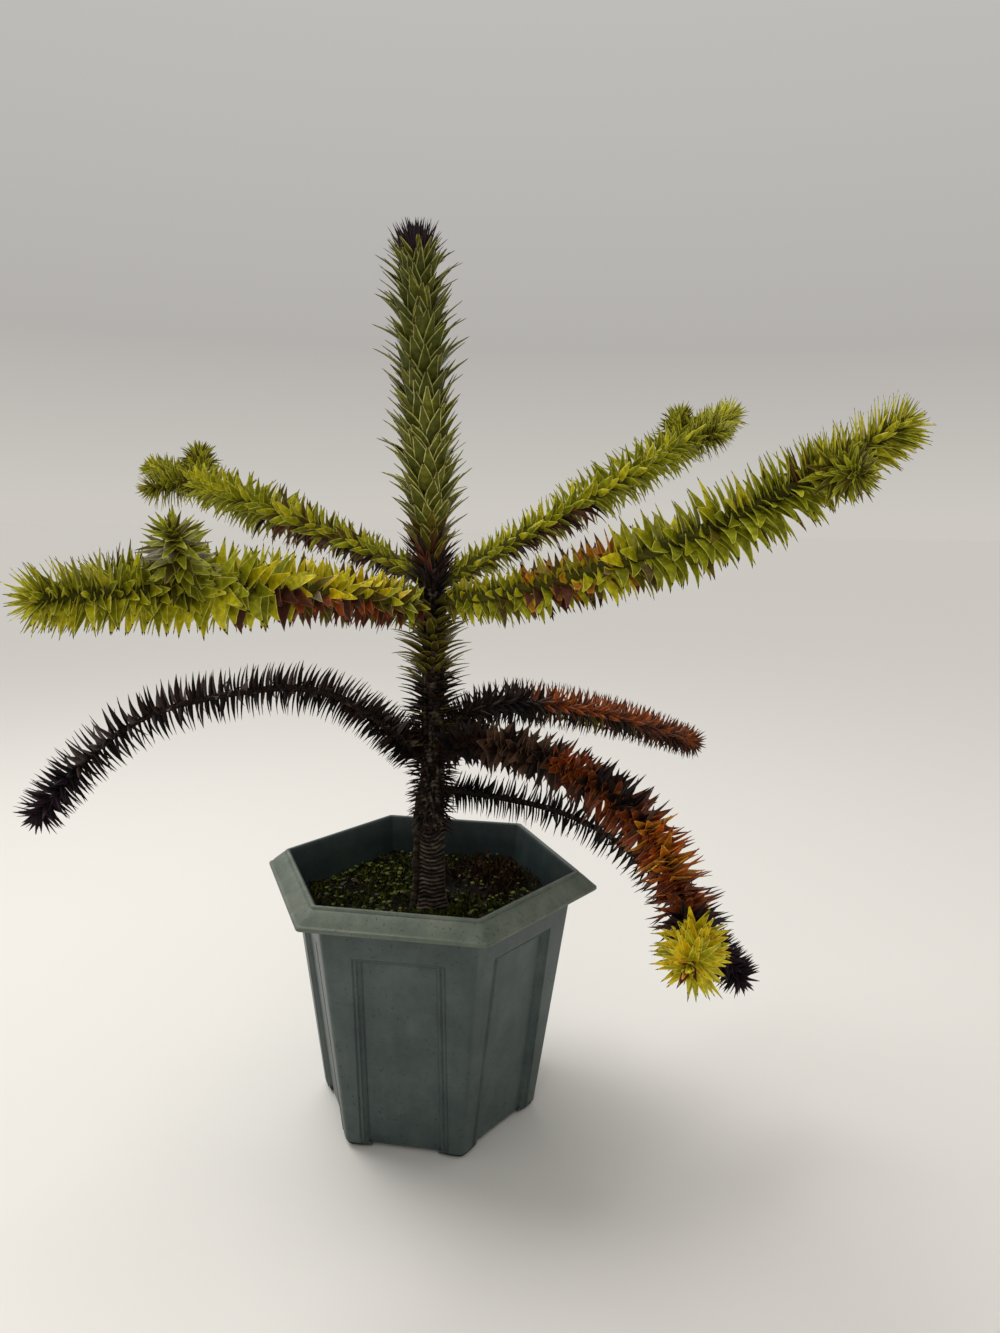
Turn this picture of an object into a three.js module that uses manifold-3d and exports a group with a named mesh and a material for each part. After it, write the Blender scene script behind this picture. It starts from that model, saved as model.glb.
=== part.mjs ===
// A young monkey puzzle tree growing in a hexagonal garden pot.
// Millimetres, Z up. The pot's axis is the Z axis and its feet stand on Z = 0.

import * as THREE from 'three';
import { mergeVertices } from 'three/addons/utils/BufferGeometryUtils.js';
import Module from 'manifold-3d';

const kernel = await Module();
kernel.setup();
const { Manifold, Mesh } = kernel;
const { degToRad, lerp, smoothstep } = THREE.MathUtils;

// Shared sizes
const GAP = 0.3;
const FINEST = 0.03;
const SEED = 7095;

// Pot: radii are taken to the corners of the hexagon
const POT_SIDES = 6;
const POT_HEIGHT = 350;
const POT_BASE_CORNER = 152.6;
const POT_TOP_CORNER = 201;
const POT_WALL = 3.5;
const POT_FLOOR = 4;
const LIP_CORNER = 231;
const LIP_BOTTOM = 325.5;
const LIP_BEAD = 5;
const RIM_FLAT = 6;
const RIM_UNDER = 330;
const FOOT_HEIGHT = 7;
const FOOT_TOP_RADIUS = 13.4;
const FOOT_BOTTOM_RADIUS = 9;
const FOOT_CIRCLE = 138;
const FRAME_WIDTH = 118;
const FRAME_TOP = 281;
const FRAME_DEPTH = 2.5;
const PANEL_WIDTH = 97;
const PANEL_TOP = 275;
const PANEL_DEPTH = 6;

// Soil
const SOIL_LEVEL = 287;
const SOIL_RISE = 7;
const SOIL_TILT = 4;
const SOIL_HIGH_SIDE = degToRad(75);
const SOIL_BUMP = 3;
const SOIL_CELLS = 8;
const SOIL_SLAB = 420;

// Trunk: its foot stands a little in front of the pot's axis, and its top leans to the left
const TRUNK_FOOT = new THREE.Vector2(6.5, -9);
const TRUNK_TOP = 1138;
const TRUNK_RADIUS = 17;
const TRUNK_TIP_RADIUS = 5;
const TRUNK_SLENDER_FROM = 480;
const FLARE = 6;
const FLARE_HEIGHT = 14;
const LEAN = 24;
const LEAN_POWER = 1.7;
const LEAN_FROM = 560;
const LEAN_HEADING = degToRad(188.7);
const TRUNK_SIDES = 10;
const TRUNK_ROWS = 14;
const SLEEVE_SIDES = 8;

// Leafy sleeves round the trunk, from the dead skirt at the bottom to the leader.
// wall is the thickness of the leaf bases on the wood at the sleeve's foot and head.
const SLEEVES = [
  {
    name: 'trunk_skirt_leaves', from: 398, to: 560, wall: [4, 6], pitch: 22, leaves: 7,
    leaf: [17, 21, 26], spread: [100, 86, 76], color: 0x2a2119,
  },
  {
    name: 'trunk_middle_leaves', from: 562, to: 686, wall: [7, 8], pitch: 20, leaves: 8,
    leaf: [30, 31, 31], spread: [68, 58, 54], color: 0x56591f,
  },
  {
    name: 'trunk_collar_leaves', from: 688, to: 768, wall: [6, 8], pitch: 20, leaves: 7,
    leaf: [24, 27, 34], spread: [84, 70, 52], color: 0x3d3020,
  },
  {
    name: 'leader_leaves', from: 770, to: 1134, wall: [8, 12], pitch: 23, leaves: 8,
    leaf: [42, 46, 52], spread: [42, 48, 16], color: 0x55621f,
  },
];

// Arms: heading and climb in degrees, climb given at even steps from trunk to tip.
// veer, where an arm has it, is how far its heading has turned at the same steps.
// split is the share of the length where the bough enters the outer mass.
// leaf is the leaf length and spread its angle off the limb, at the base, middle and tip.
const LEAF_SEAT = 0.62;
const LEAF_CLEAR = 1.6;
const LEAF_THICKNESS = 2.2;
const COLLAR_WALL = 8;
const ARM_ROOT = 8;
const BOUGH_TIP_RADIUS = 4.5;
const BOUGH_WALL = 6.2;
const BLUNT_TIP = 0.62;
const ARM_STEPS = 40;
const ARMS = [
  {
    name: 'upper_left_front', heading: 242, height: 699, length: 521, climb: [11, 8, 1, -1],
    radius: 8.5, split: 0.46, pitch: 27, leaves: 6,
    leaf: [28, 38, 34], spread: [62, 58, 48], color: [0xa39426, 0x7d8a2a],
    shoots: [
      { at: 0.71, turn: 58, climb: 46, length: 84 },
      { at: 0.75, turn: -52, climb: 12, length: 66 },
    ],
  },
  {
    name: 'upper_left_back', heading: 159, height: 735, length: 537, climb: [22, 15, 15, 13],
    radius: 8.5, split: 0.46, pitch: 27, leaves: 6,
    leaf: [25, 35, 32], spread: [62, 58, 48], color: [0x7b7a2c, 0x808c2e],
    shoots: [
      { at: 0.82, turn: 52, climb: 4, length: 68 },
      { at: 0.8, turn: -55, climb: 48, length: 66 },
    ],
  },
  {
    name: 'upper_right_back', heading: 39, height: 726, length: 560, climb: [27, 26, 27, 26],
    radius: 8.5, split: 0.46, pitch: 27, leaves: 6,
    leaf: [25, 35, 32], spread: [62, 58, 48], color: [0x74772b, 0x7d8b2d],
    shoots: [
      { at: 0.79, turn: 58, climb: 52, length: 62 },
      { at: 0.83, turn: -50, climb: 10, length: 54 },
    ],
  },
  {
    name: 'upper_right_front', heading: 336, height: 709, length: 598,
    climb: [4, 15, 20, 28, 33],
    radius: 8.5, split: 0.46, pitch: 27, leaves: 6,
    leaf: [29, 43, 37], spread: [62, 62, 50], color: [0x7f7c2b, 0x848f2f],
    shoots: [
      { at: 0.85, turn: -45, climb: -4, length: 62 },
      { at: 0.79, turn: 54, climb: 34, length: 62 },
    ],
  },
  {
    name: 'lower_right_back', heading: 45, height: 521, length: 531,
    climb: [40, -7, -15, -19, -21],
    radius: 8, split: 0.36, pitch: 25, leaves: 6,
    leaf: [26, 28, 28], spread: [76, 72, 62], color: [0x231b17, 0x5e2413], shoots: [],
  },
  {
    name: 'lower_right_front', heading: 319, height: 513, length: 565,
    climb: [20, 7, -5, -16, -46, 8], veer: [0, 0, 0, -3, -19, -66],
    radius: 8.5, split: 0.6, pitch: 27, leaves: 6,
    leaf: [28, 33, 35], spread: [68, 58, 58], color: [0x5a3a22, 0xb0701f], shoots: [],
  },
  {
    name: 'lower_right_low', heading: 5, height: 454, length: 512,
    climb: [-4, -11, -35, -52, -50],
    radius: 6.5, split: 0.4, pitch: 25, leaves: 6,
    leaf: [23, 24, 27], spread: [84, 78, 64], color: [0x171315, 0x1b1620], shoots: [],
  },
  {
    name: 'lower_left', heading: 201, height: 491, length: 574,
    climb: [46, 35, -4, -14, -42, -55],
    radius: 8, split: 0.45, pitch: 25, leaves: 6,
    leaf: [27, 31, 30], spread: [78, 72, 62], color: [0x2b1f18, 0x2a1c19], shoots: [],
  },
];

// Seeded random numbers between 0 and 1
function randomSource(seed) {
  let state = seed >>> 0;
  return () => {
    state = (state + 0x6d2b79f5) >>> 0;
    let mixed = Math.imul(state ^ (state >>> 15), state | 1);
    mixed ^= mixed + Math.imul(mixed ^ (mixed >>> 7), mixed | 61);
    return ((mixed ^ (mixed >>> 14)) >>> 0) / 4294967296;
  };
}

const random = randomSource(SEED);

function jitter(amount) {
  return (random() * 2 - 1) * amount;
}

// Value at share t of a list of values given at even steps
function along(values, t) {
  const place = THREE.MathUtils.clamp(t, 0, 1) * (values.length - 1);
  const index = Math.min(Math.floor(place), values.length - 2);
  return lerp(values[index], values[index + 1], place - index);
}

// Closed solid from a geometry, with its corners welded and empty faces left out
function solidOf(geometry) {
  const bare = new THREE.BufferGeometry();
  bare.setAttribute('position', geometry.getAttribute('position'));
  bare.setIndex(geometry.getIndex());
  const welded = mergeVertices(bare, 1e-4);
  const index = welded.getIndex().array;
  const triangles = [];
  for (let i = 0; i < index.length; i += 3) {
    const [a, b, c] = [index[i], index[i + 1], index[i + 2]];
    if (a !== b && b !== c && c !== a) {
      triangles.push(a, b, c);
    }
  }
  return new Manifold(new Mesh({
    numProp: 3,
    vertProperties: Float32Array.from(welded.getAttribute('position').array),
    triVerts: Uint32Array.from(triangles),
  }));
}

// Largest body of a solid: loose scraps and sealed hollows are left behind
function mainBody(solid) {
  const bodies = solid.simplify(FINEST).decompose();
  bodies.sort((a, b) => b.volume() - a.volume());
  return bodies[0];
}

function geometryOf(solid) {
  const mesh = solid.getMesh();
  const geometry = new THREE.BufferGeometry();
  const position = Float32Array.from(mesh.vertProperties);
  geometry.setAttribute('position', new THREE.BufferAttribute(position, 3));
  geometry.setIndex(Array.from(mesh.triVerts));
  geometry.computeVertexNormals();
  return geometry;
}

// Turned hexagonal solid: corners lie on the X axis, flats face -Y and +Y
function hexagonSolid(profile) {
  const points = profile.map(([radius, height]) => new THREE.Vector2(radius, height));
  const geometry = new THREE.LatheGeometry(points, POT_SIDES, Math.PI / 2);
  geometry.rotateX(Math.PI / 2);
  return solidOf(geometry);
}

const FLAT = Math.cos(Math.PI / POT_SIDES);

function wallCorner(z) {
  return lerp(POT_BASE_CORNER, POT_TOP_CORNER, z / POT_HEIGHT);
}

const WALL_SLOPE = Math.atan(((POT_TOP_CORNER - POT_BASE_CORNER) * FLAT) / POT_HEIGHT);

// Slab let into one wall of the pot, open at the bottom edge
function wallSlab(side, width, top, depth) {
  const below = 30;
  const height = (top + below) / Math.cos(WALL_SLOPE);
  const slab = new THREE.BoxGeometry(width, depth * 2, height);
  slab.translate(0, 0, -height / 2);
  slab.rotateX(WALL_SLOPE);
  slab.translate(0, -wallCorner(top) * FLAT, top);
  slab.rotateZ((side * Math.PI * 2) / POT_SIDES);
  return solidOf(slab);
}

function wallSlabs(width, top, depth) {
  const slabs = [];
  for (let side = 0; side < POT_SIDES; side += 1) {
    slabs.push(wallSlab(side, width, top, depth));
  }
  return Manifold.union(slabs);
}

// Room inside the pot, shrunk by clear
function potRoom(clear) {
  const skin = POT_WALL + clear;
  const floor = FOOT_HEIGHT + POT_FLOOR + clear;
  const top = POT_HEIGHT + 20;
  const room = hexagonSolid([
    [0, floor],
    [wallCorner(floor) - skin / FLAT, floor],
    [wallCorner(top) - skin / FLAT, top],
    [0, top],
  ]);
  const recesses = wallSlabs(FRAME_WIDTH + skin * 2, FRAME_TOP + skin, PANEL_DEPTH + skin);
  return room.subtract(recesses);
}

function potSolid() {
  const shell = hexagonSolid([
    [0, FOOT_HEIGHT],
    [wallCorner(FOOT_HEIGHT), FOOT_HEIGHT],
    [wallCorner(RIM_UNDER), RIM_UNDER],
    [LIP_CORNER - 4, LIP_BOTTOM],
    [LIP_CORNER, LIP_BOTTOM],
    [LIP_CORNER, LIP_BOTTOM + LIP_BEAD],
    [LIP_CORNER - 3, LIP_BOTTOM + LIP_BEAD + 1],
    [lerp(LIP_CORNER, POT_TOP_CORNER, 0.5), lerp(LIP_BOTTOM + LIP_BEAD, POT_HEIGHT, 0.62)],
    [POT_TOP_CORNER + RIM_FLAT, POT_HEIGHT - 3],
    [POT_TOP_CORNER + RIM_FLAT - 2, POT_HEIGHT],
    [0, POT_HEIGHT],
  ]);
  const feet = [];
  for (let side = 0; side < POT_SIDES; side += 1) {
    const height = FOOT_HEIGHT + 2;
    const foot = new THREE.CylinderGeometry(FOOT_TOP_RADIUS, FOOT_BOTTOM_RADIUS, height, 8);
    foot.rotateX(Math.PI / 2);
    foot.translate(FOOT_CIRCLE, 0, height / 2);
    foot.rotateZ((side * Math.PI * 2) / POT_SIDES);
    feet.push(solidOf(foot));
  }
  const body = Manifold.union([shell, ...feet]);
  const frames = wallSlabs(FRAME_WIDTH, FRAME_TOP, FRAME_DEPTH);
  const panels = wallSlabs(PANEL_WIDTH, PANEL_TOP, PANEL_DEPTH);
  return mainBody(body.subtract(frames).subtract(panels).subtract(potRoom(0)));
}

function soilHeight(x, y) {
  const far = Math.hypot(x - TRUNK_FOOT.x, y - TRUNK_FOOT.y);
  const side = Math.atan2(y, x);
  const swell = SOIL_RISE + SOIL_TILT * Math.cos(side - SOIL_HIGH_SIDE);
  const bump = SOIL_BUMP * Math.sin(x / 31) * Math.cos(y / 27);
  return SOIL_LEVEL + smoothstep(far, 84, 165) * (swell + bump);
}

function soilSolid() {
  const depth = SOIL_LEVEL;
  const slab = new THREE.BoxGeometry(SOIL_SLAB, SOIL_SLAB, depth, SOIL_CELLS, SOIL_CELLS, 1);
  const position = slab.getAttribute('position');
  for (let i = 0; i < position.count; i += 1) {
    if (position.getZ(i) > 0) {
      position.setZ(i, soilHeight(position.getX(i), position.getY(i)));
    } else {
      position.setZ(i, 0);
    }
  }
  return mainBody(solidOf(slab).intersect(potRoom(GAP)));
}

// Tapering limb along a curve from share u0 to share u1
function limbSolid(curve, radiusAt, sides, rows, u0 = 0, u1 = 1) {
  const tube = new THREE.CylinderGeometry(1, 1, 1, sides, rows);
  const position = tube.getAttribute('position');
  const corner = new THREE.Vector3();
  for (let i = 0; i < position.count; i += 1) {
    const u = lerp(u0, u1, position.getY(i) + 0.5);
    const frame = curve.frameAt(u);
    const radius = radiusAt(u);
    corner.copy(curve.getPointAt(u));
    corner.addScaledVector(frame.normal, position.getX(i) * radius);
    corner.addScaledVector(frame.binormal, -position.getZ(i) * radius);
    position.setXYZ(i, corner.x, corner.y, corner.z);
  }
  return solidOf(tube);
}

// Smooth line through points, with a cross frame that keeps one side up
class LimbLine extends THREE.CatmullRomCurve3 {
  constructor(points, side) {
    super(points);
    this.side = side;
  }

  frameAt(u) {
    const tangent = this.getTangentAt(THREE.MathUtils.clamp(u, 0, 1));
    const binormal = this.side.clone().addScaledVector(tangent, -this.side.dot(tangent));
    binormal.normalize();
    const normal = binormal.clone().cross(tangent);
    return { tangent, normal, binormal };
  }
}

function trunkCentre(z) {
  const share = Math.max(0, (z - LEAN_FROM) / (TRUNK_TOP - LEAN_FROM));
  const shift = LEAN * share ** LEAN_POWER;
  return new THREE.Vector3(
    TRUNK_FOOT.x + shift * Math.cos(LEAN_HEADING),
    TRUNK_FOOT.y + shift * Math.sin(LEAN_HEADING),
    z,
  );
}

function trunkRadius(z) {
  const flare = FLARE * Math.exp(-(z - SOIL_LEVEL) / FLARE_HEIGHT);
  const share = Math.max(0, (z - TRUNK_SLENDER_FROM) / (TRUNK_TOP - TRUNK_SLENDER_FROM));
  return lerp(TRUNK_RADIUS, TRUNK_TIP_RADIUS, share ** 1.15) + flare;
}

// Straight-up limb round the trunk's line between two heights, thicker than the wood by extra
function trunkLimb(from, to, extra, sides, rows) {
  const tube = new THREE.CylinderGeometry(1, 1, 1, sides, rows);
  tube.rotateX(Math.PI / 2);
  const position = tube.getAttribute('position');
  for (let i = 0; i < position.count; i += 1) {
    const share = position.getZ(i) + 0.5;
    const z = lerp(from, to, from < SOIL_LEVEL + 1 ? share ** 1.5 : share);
    const centre = trunkCentre(z);
    const radius = trunkRadius(z) + along(extra, share);
    position.setXYZ(i, centre.x + position.getX(i) * radius, centre.y + position.getY(i) * radius, z);
  }
  return solidOf(tube);
}

// Room that one leaf takes up: six corners, two on each axis of an octahedron
function leafSpace(left, right, back, front, inside, tip) {
  const space = new THREE.OctahedronGeometry(1, 0);
  const position = space.getAttribute('position');
  for (let i = 0; i < position.count; i += 1) {
    const [x, y, z] = [position.getX(i), position.getY(i), position.getZ(i)];
    const ends = Math.abs(x) > 0.5 ? [left, right] : Math.abs(y) > 0.5 ? [back, front] : [inside, tip];
    const corner = x + y + z > 0 ? ends[1] : ends[0];
    position.setXYZ(i, corner.x, corner.y, corner.z);
  }
  return solidOf(space);
}

// Solids that leaves keep clear of, each with its box
const standing = [];

function boxOf(solid) {
  const { min, max } = solid.boundingBox();
  return new THREE.Box3(new THREE.Vector3(...min), new THREE.Vector3(...max));
}

function stand(owner, solid) {
  standing.push({ owner, solid, box: boxOf(solid) });
}

function isClear(leaf, owners) {
  const box = boxOf(leaf).expandByScalar(LEAF_CLEAR * 2);
  return standing.every((other) => (
    owners.includes(other.owner)
    || !other.box.intersectsBox(box)
    || leaf.minGap(other.solid, LEAF_CLEAR * 2) > LEAF_CLEAR
  ));
}

// Direction out of a limb at one of the columns round it
function outwardAt(frame, column, columns) {
  const turn = (column / columns) * Math.PI * 2;
  const outward = frame.normal.clone().multiplyScalar(Math.sin(turn));
  return outward.addScaledVector(frame.binormal, -Math.cos(turn));
}

function skinPoint(limb, u, column, columns) {
  const outward = outwardAt(limb.frameAt(u), column, columns);
  return limb.pointAt(u).addScaledVector(outward, limb.radiusAt(u));
}

// Tips of the leaves in one row, in every other column. A leaf with no room is left out.
function ringTips(owners, limb, rows, index, columns, style) {
  const tips = [];
  const { u, ring } = rows[index];
  const frame = limb.frameAt(u);
  const share = style.share(u);
  for (let column = ring % 2; column < columns; column += 2) {
    const length = along(style.leaf, share) * (1 + jitter(0.12));
    const spread = degToRad(along(style.spread, share) + jitter(6));
    const outward = outwardAt(frame, column, columns);
    const side = new THREE.Vector3().crossVectors(frame.tangent, outward);
    const tip = skinPoint(limb, u, column, columns);
    tip.addScaledVector(frame.tangent, Math.cos(spread) * length);
    tip.addScaledVector(outward, Math.sin(spread) * length);
    tip.addScaledVector(side, jitter(0.06) * length);
    const space = leafSpace(
      skinPoint(limb, u, column - 1, columns),
      skinPoint(limb, u, column + 1, columns),
      skinPoint(limb, rows[index - 1].u, column, columns),
      skinPoint(limb, rows[index + 1].u, column, columns),
      limb.pointAt(u),
      tip,
    );
    if (isClear(space, owners)) {
      tips[column] = tip;
    }
  }
  return tips;
}

// Leafy limb: one closed skin with rings of leaves drawn out of it, leaning to the limb's tip.
// The leaves of each ring stand between those of the ring before.
function leafyLimb(owners, limb, from, to, style) {
  const columns = style.leaves * 2;
  const rings = Math.max(2, Math.round((limb.length * (to - from)) / style.pitch));
  const rows = [{ u: from }];
  for (let ring = 0; ring < rings; ring += 1) {
    const u = lerp(from, to, (ring + LEAF_SEAT) / rings);
    rows.push({ u, ring });
    rows.push({ u: u + LEAF_THICKNESS / limb.length });
  }
  rows.push({ u: to });
  const tips = rows.map((row, index) => (
    row.ring === undefined ? [] : ringTips(owners, limb, rows, index, columns, style)
  ));
  const skin = new THREE.CylinderGeometry(1, 1, 1, columns, rows.length - 1);
  const position = skin.getAttribute('position');
  for (let i = 0; i < position.count; i += 1) {
    const [x, y, z] = [position.getX(i), position.getY(i), position.getZ(i)];
    const index = Math.round((y + 0.5) * (rows.length - 1));
    const turn = Math.atan2(x, z) / (Math.PI * 2);
    const column = (Math.round(turn * columns) + columns) % columns;
    let corner = limb.pointAt(rows[index].u);
    if (Math.hypot(x, z) > 0.5) {
      corner = tips[index][column] ?? skinPoint(limb, rows[index].u, column, columns);
    }
    position.setXYZ(i, corner.x, corner.y, corner.z);
  }
  return solidOf(skin);
}

// Line of an arm, from inside the trunk to its tip
function armLine(arm) {
  const root = degToRad(arm.heading);
  const out = new THREE.Vector3(Math.cos(root), Math.sin(root), 0);
  const place = trunkCentre(arm.height).addScaledVector(out, ARM_ROOT);
  const points = [place.clone()];
  const step = arm.length / ARM_STEPS;
  for (let i = 0; i < ARM_STEPS; i += 1) {
    const share = (i + 0.5) / ARM_STEPS;
    const climb = degToRad(along(arm.climb, share));
    const heading = root + degToRad(along(arm.veer ?? [0, 0], share));
    place.x += Math.cos(heading) * Math.cos(climb) * step;
    place.y += Math.sin(heading) * Math.cos(climb) * step;
    place.z += Math.sin(climb) * step;
    points.push(place.clone());
  }
  return new LimbLine(points, new THREE.Vector3(-out.y, out.x, 0));
}

// Line of a side shoot that leaves an arm and turns forward a little
function shootLine(line, arm, shoot) {
  const foot = line.getPointAt(shoot.at);
  const heading = degToRad(arm.heading);
  const points = [foot.clone()];
  const steps = 6;
  const place = foot.clone();
  for (let i = 0; i < steps; i += 1) {
    const aim = heading + degToRad(shoot.turn) * (1 - (i / steps) * 0.35);
    const climb = degToRad(shoot.climb);
    place.x += Math.cos(aim) * Math.cos(climb) * (shoot.length / steps);
    place.y += Math.sin(aim) * Math.cos(climb) * (shoot.length / steps);
    place.z += Math.sin(climb) * (shoot.length / steps);
    points.push(place.clone());
  }
  const aim = heading + degToRad(shoot.turn);
  return new LimbLine(points, new THREE.Vector3(-Math.sin(aim), Math.cos(aim), 0));
}

function limbOf(line, length, radiusAt) {
  return {
    length,
    radiusAt,
    frameAt: (u) => line.frameAt(u),
    pointAt: (u) => line.getPointAt(u).clone(),
  };
}

// Trunk and the tubes that its leaves root in
const trunkFoot = SOIL_LEVEL + GAP;
const trunk = trunkLimb(trunkFoot, TRUNK_TOP, [0, 0], TRUNK_SIDES, TRUNK_ROWS);
const trunkSpace = trunkLimb(trunkFoot, TRUNK_TOP, [GAP, GAP], TRUNK_SIDES, TRUNK_ROWS);
const pot = potSolid();
const soil = soilSolid();
stand('pot', pot);
stand('soil', soil);

const trunkTubes = SLEEVES.map((sleeve) => {
  const rows = Math.ceil((sleeve.to - sleeve.from) / 130);
  return { ...sleeve, tube: trunkLimb(sleeve.from, sleeve.to, sleeve.wall, SLEEVE_SIDES, rows) };
});

// Boughs, the sleeves round them and the stems that carry on from their tips
const arms = ARMS.map((arm) => {
  const line = armLine(arm);
  const gapShare = GAP / arm.length;
  const woodAt = (u) => lerp(arm.radius, BOUGH_TIP_RADIUS, u);
  const bough = limbSolid(line, woodAt, 6, 4, 0, arm.split).subtract(trunkSpace);
  const boughSpace = limbSolid(line, (u) => woodAt(u) + GAP, 6, 4, 0, arm.split);
  const sleeveAt = (u) => woodAt(u) + BOUGH_WALL;
  const rise = degToRad(Math.abs(arm.climb[0]));
  const offTrunk = trunkRadius(arm.height) + COLLAR_WALL + 4 - ARM_ROOT;
  const start = (offTrunk / Math.cos(rise) + sleeveAt(0) * Math.tan(rise)) / arm.length;
  const end = arm.split - 3 / arm.length;
  const sleeve = limbSolid(line, sleeveAt, 6, 4, start, end);
  const stemFrom = arm.split + gapShare;
  const stemAt = (u) => sleeveAt(u) * lerp(1, BLUNT_TIP, smoothstep(u, 0.85, 1));
  const stem = limbSolid(line, stemAt, 6, 4, stemFrom, 1);
  const shoots = arm.shoots.map((shoot) => {
    const path = shootLine(line, arm, shoot);
    const thick = stemAt(shoot.at) * 0.8;
    const radiusAt = (u) => lerp(thick, thick * BLUNT_TIP, u);
    return {
      ...shoot,
      limb: limbOf(path, shoot.length, radiusAt),
      solid: limbSolid(path, radiusAt, 5, 2),
    };
  });
  return {
    ...arm, line, bough: mainBody(bough), boughSpace, sleeve, start, end, stem, stemFrom, shoots,
    innerLimb: limbOf(line, arm.length, sleeveAt),
    outerLimb: limbOf(line, arm.length, stemAt),
  };
});

stand('trunk', trunk);
trunkTubes.forEach((sleeve) => stand(sleeve.name, sleeve.tube));
arms.forEach((arm) => {
  stand(`bough_${arm.name}`, arm.bough);
  stand(`inner_${arm.name}`, arm.sleeve);
  stand(`outer_${arm.name}`, arm.stem);
  arm.shoots.forEach((shoot) => stand(`outer_${arm.name}`, shoot.solid));
});

// Group of named parts
const plant = new THREE.Group();
plant.name = 'potted_monkey_puzzle_tree';

function addPart(name, solid, color, roughness) {
  const material = new THREE.MeshStandardMaterial({ color, roughness, metalness: 0 });
  material.flatShading = true;
  const mesh = new THREE.Mesh(geometryOf(solid), material);
  mesh.name = name;
  plant.add(mesh);
}

addPart('pot', pot, 0x46544f, 0.55);
addPart('soil', soil, 0x2b2415, 0.95);
addPart('trunk', trunk, 0x4b4036, 0.9);

// Arms first, so that the trunk's own leaves give way to them
arms.forEach((arm) => {
  const [bough, inner, outer] = [`bough_${arm.name}`, `inner_${arm.name}`, `outer_${arm.name}`];
  addPart(bough, arm.bough, 0x3f342b, 0.9);
  const style = {
    pitch: arm.pitch, leaves: arm.leaves, leaf: arm.leaf, spread: arm.spread, share: (u) => u,
  };
  const innerWhole = leafyLimb([inner, bough], arm.innerLimb, arm.start, arm.end, style);
  const innerMass = mainBody(innerWhole.subtract(arm.boughSpace));
  stand(inner, innerMass);
  addPart(`leaves_${inner}`, innerMass, arm.color[0], 0.7);

  const pieces = [leafyLimb([outer], arm.outerLimb, arm.stemFrom, 1, style)];
  arm.shoots.forEach((shoot) => {
    const shootStyle = { ...style, leaves: 5, share: (u) => lerp(0.72, 1, u) };
    pieces.push(leafyLimb([outer], shoot.limb, 0, 1, shootStyle));
  });
  const outerMass = mainBody(Manifold.union(pieces));
  stand(outer, outerMass);
  addPart(`leaves_${outer}`, outerMass, arm.color[1], 0.7);
});

trunkTubes.forEach((sleeve) => {
  const heightAt = (u) => lerp(sleeve.from, sleeve.to, u);
  const upright = {
    length: sleeve.to - sleeve.from,
    radiusAt: (u) => trunkRadius(heightAt(u)) + along(sleeve.wall, u),
    pointAt: (u) => trunkCentre(heightAt(u)),
    frameAt: () => ({
      tangent: new THREE.Vector3(0, 0, 1),
      normal: new THREE.Vector3(1, 0, 0),
      binormal: new THREE.Vector3(0, 1, 0),
    }),
  };
  const style = { ...sleeve, share: (u) => u };
  let whole = leafyLimb([sleeve.name, 'trunk'], upright, 0, 1, style).subtract(trunkSpace);
  arms.forEach((arm) => {
    whole = whole.subtract(arm.boughSpace);
  });
  const mass = mainBody(whole);
  stand(sleeve.name, mass);
  addPart(sleeve.name, mass, sleeve.color, 0.75);
});

export default plant;
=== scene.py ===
# A potted monkey puzzle tree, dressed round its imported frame. Lengths in the tables are millimetres.
import math

import bpy
import numpy as np
from mathutils import Matrix, Vector


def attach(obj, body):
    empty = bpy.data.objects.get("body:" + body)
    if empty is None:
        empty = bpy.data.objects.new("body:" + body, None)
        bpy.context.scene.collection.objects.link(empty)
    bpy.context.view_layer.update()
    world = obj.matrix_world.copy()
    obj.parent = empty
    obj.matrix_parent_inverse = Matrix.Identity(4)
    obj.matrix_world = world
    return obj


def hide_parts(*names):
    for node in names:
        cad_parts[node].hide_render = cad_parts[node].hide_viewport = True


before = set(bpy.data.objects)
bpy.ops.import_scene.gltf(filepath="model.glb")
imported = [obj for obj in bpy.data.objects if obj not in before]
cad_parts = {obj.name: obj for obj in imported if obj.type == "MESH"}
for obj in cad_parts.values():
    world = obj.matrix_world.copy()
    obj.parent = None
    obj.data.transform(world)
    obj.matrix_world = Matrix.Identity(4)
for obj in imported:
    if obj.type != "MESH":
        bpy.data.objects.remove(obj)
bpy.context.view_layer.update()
rng = np.random.default_rng(7095)
MM = 0.001
GOLDEN = math.radians(137.508)
COS30 = math.cos(math.pi / 6)
TURN = 2 * math.pi
X_AXIS, Y_AXIS, Z_AXIS = np.eye(3)

# Sizes shared with the solids
POT_HEIGHT = 350
POT_BASE_CORNER = 152.6
POT_TOP_CORNER = 201
LIP_CORNER = 231
FOOT_HEIGHT = 7
FRAME_HALF = 59
FRAME_TOP = 281
PANEL_HALF = 48.5
PANEL_TOP = 275
SOIL_LEVEL = 287
TRUNK_FOOT = (6.5, -9.0)
TRUNK_TOP = 1138
TRUNK_RADIUS = 17
TRUNK_TIP_RADIUS = 5
TAPER_FROM = 480
TAPER_POWER = 1.15
LEAN = 24
LEAN_POWER = 1.7
LEAN_FROM = 560
LEAN_HEADING = math.radians(188.7)
ARM_ROOT = 8
ARM_RADIUS = 8.5
BOUGH_TIP_RADIUS = 4.5
SHOOT_RETURN = 0.35

# How deep a leaf's foot sits in the wood, and how far down a leaf may point and take an upper tint
LEAF_SINK = 2.2
UPPER_SIDE = -0.25

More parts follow.
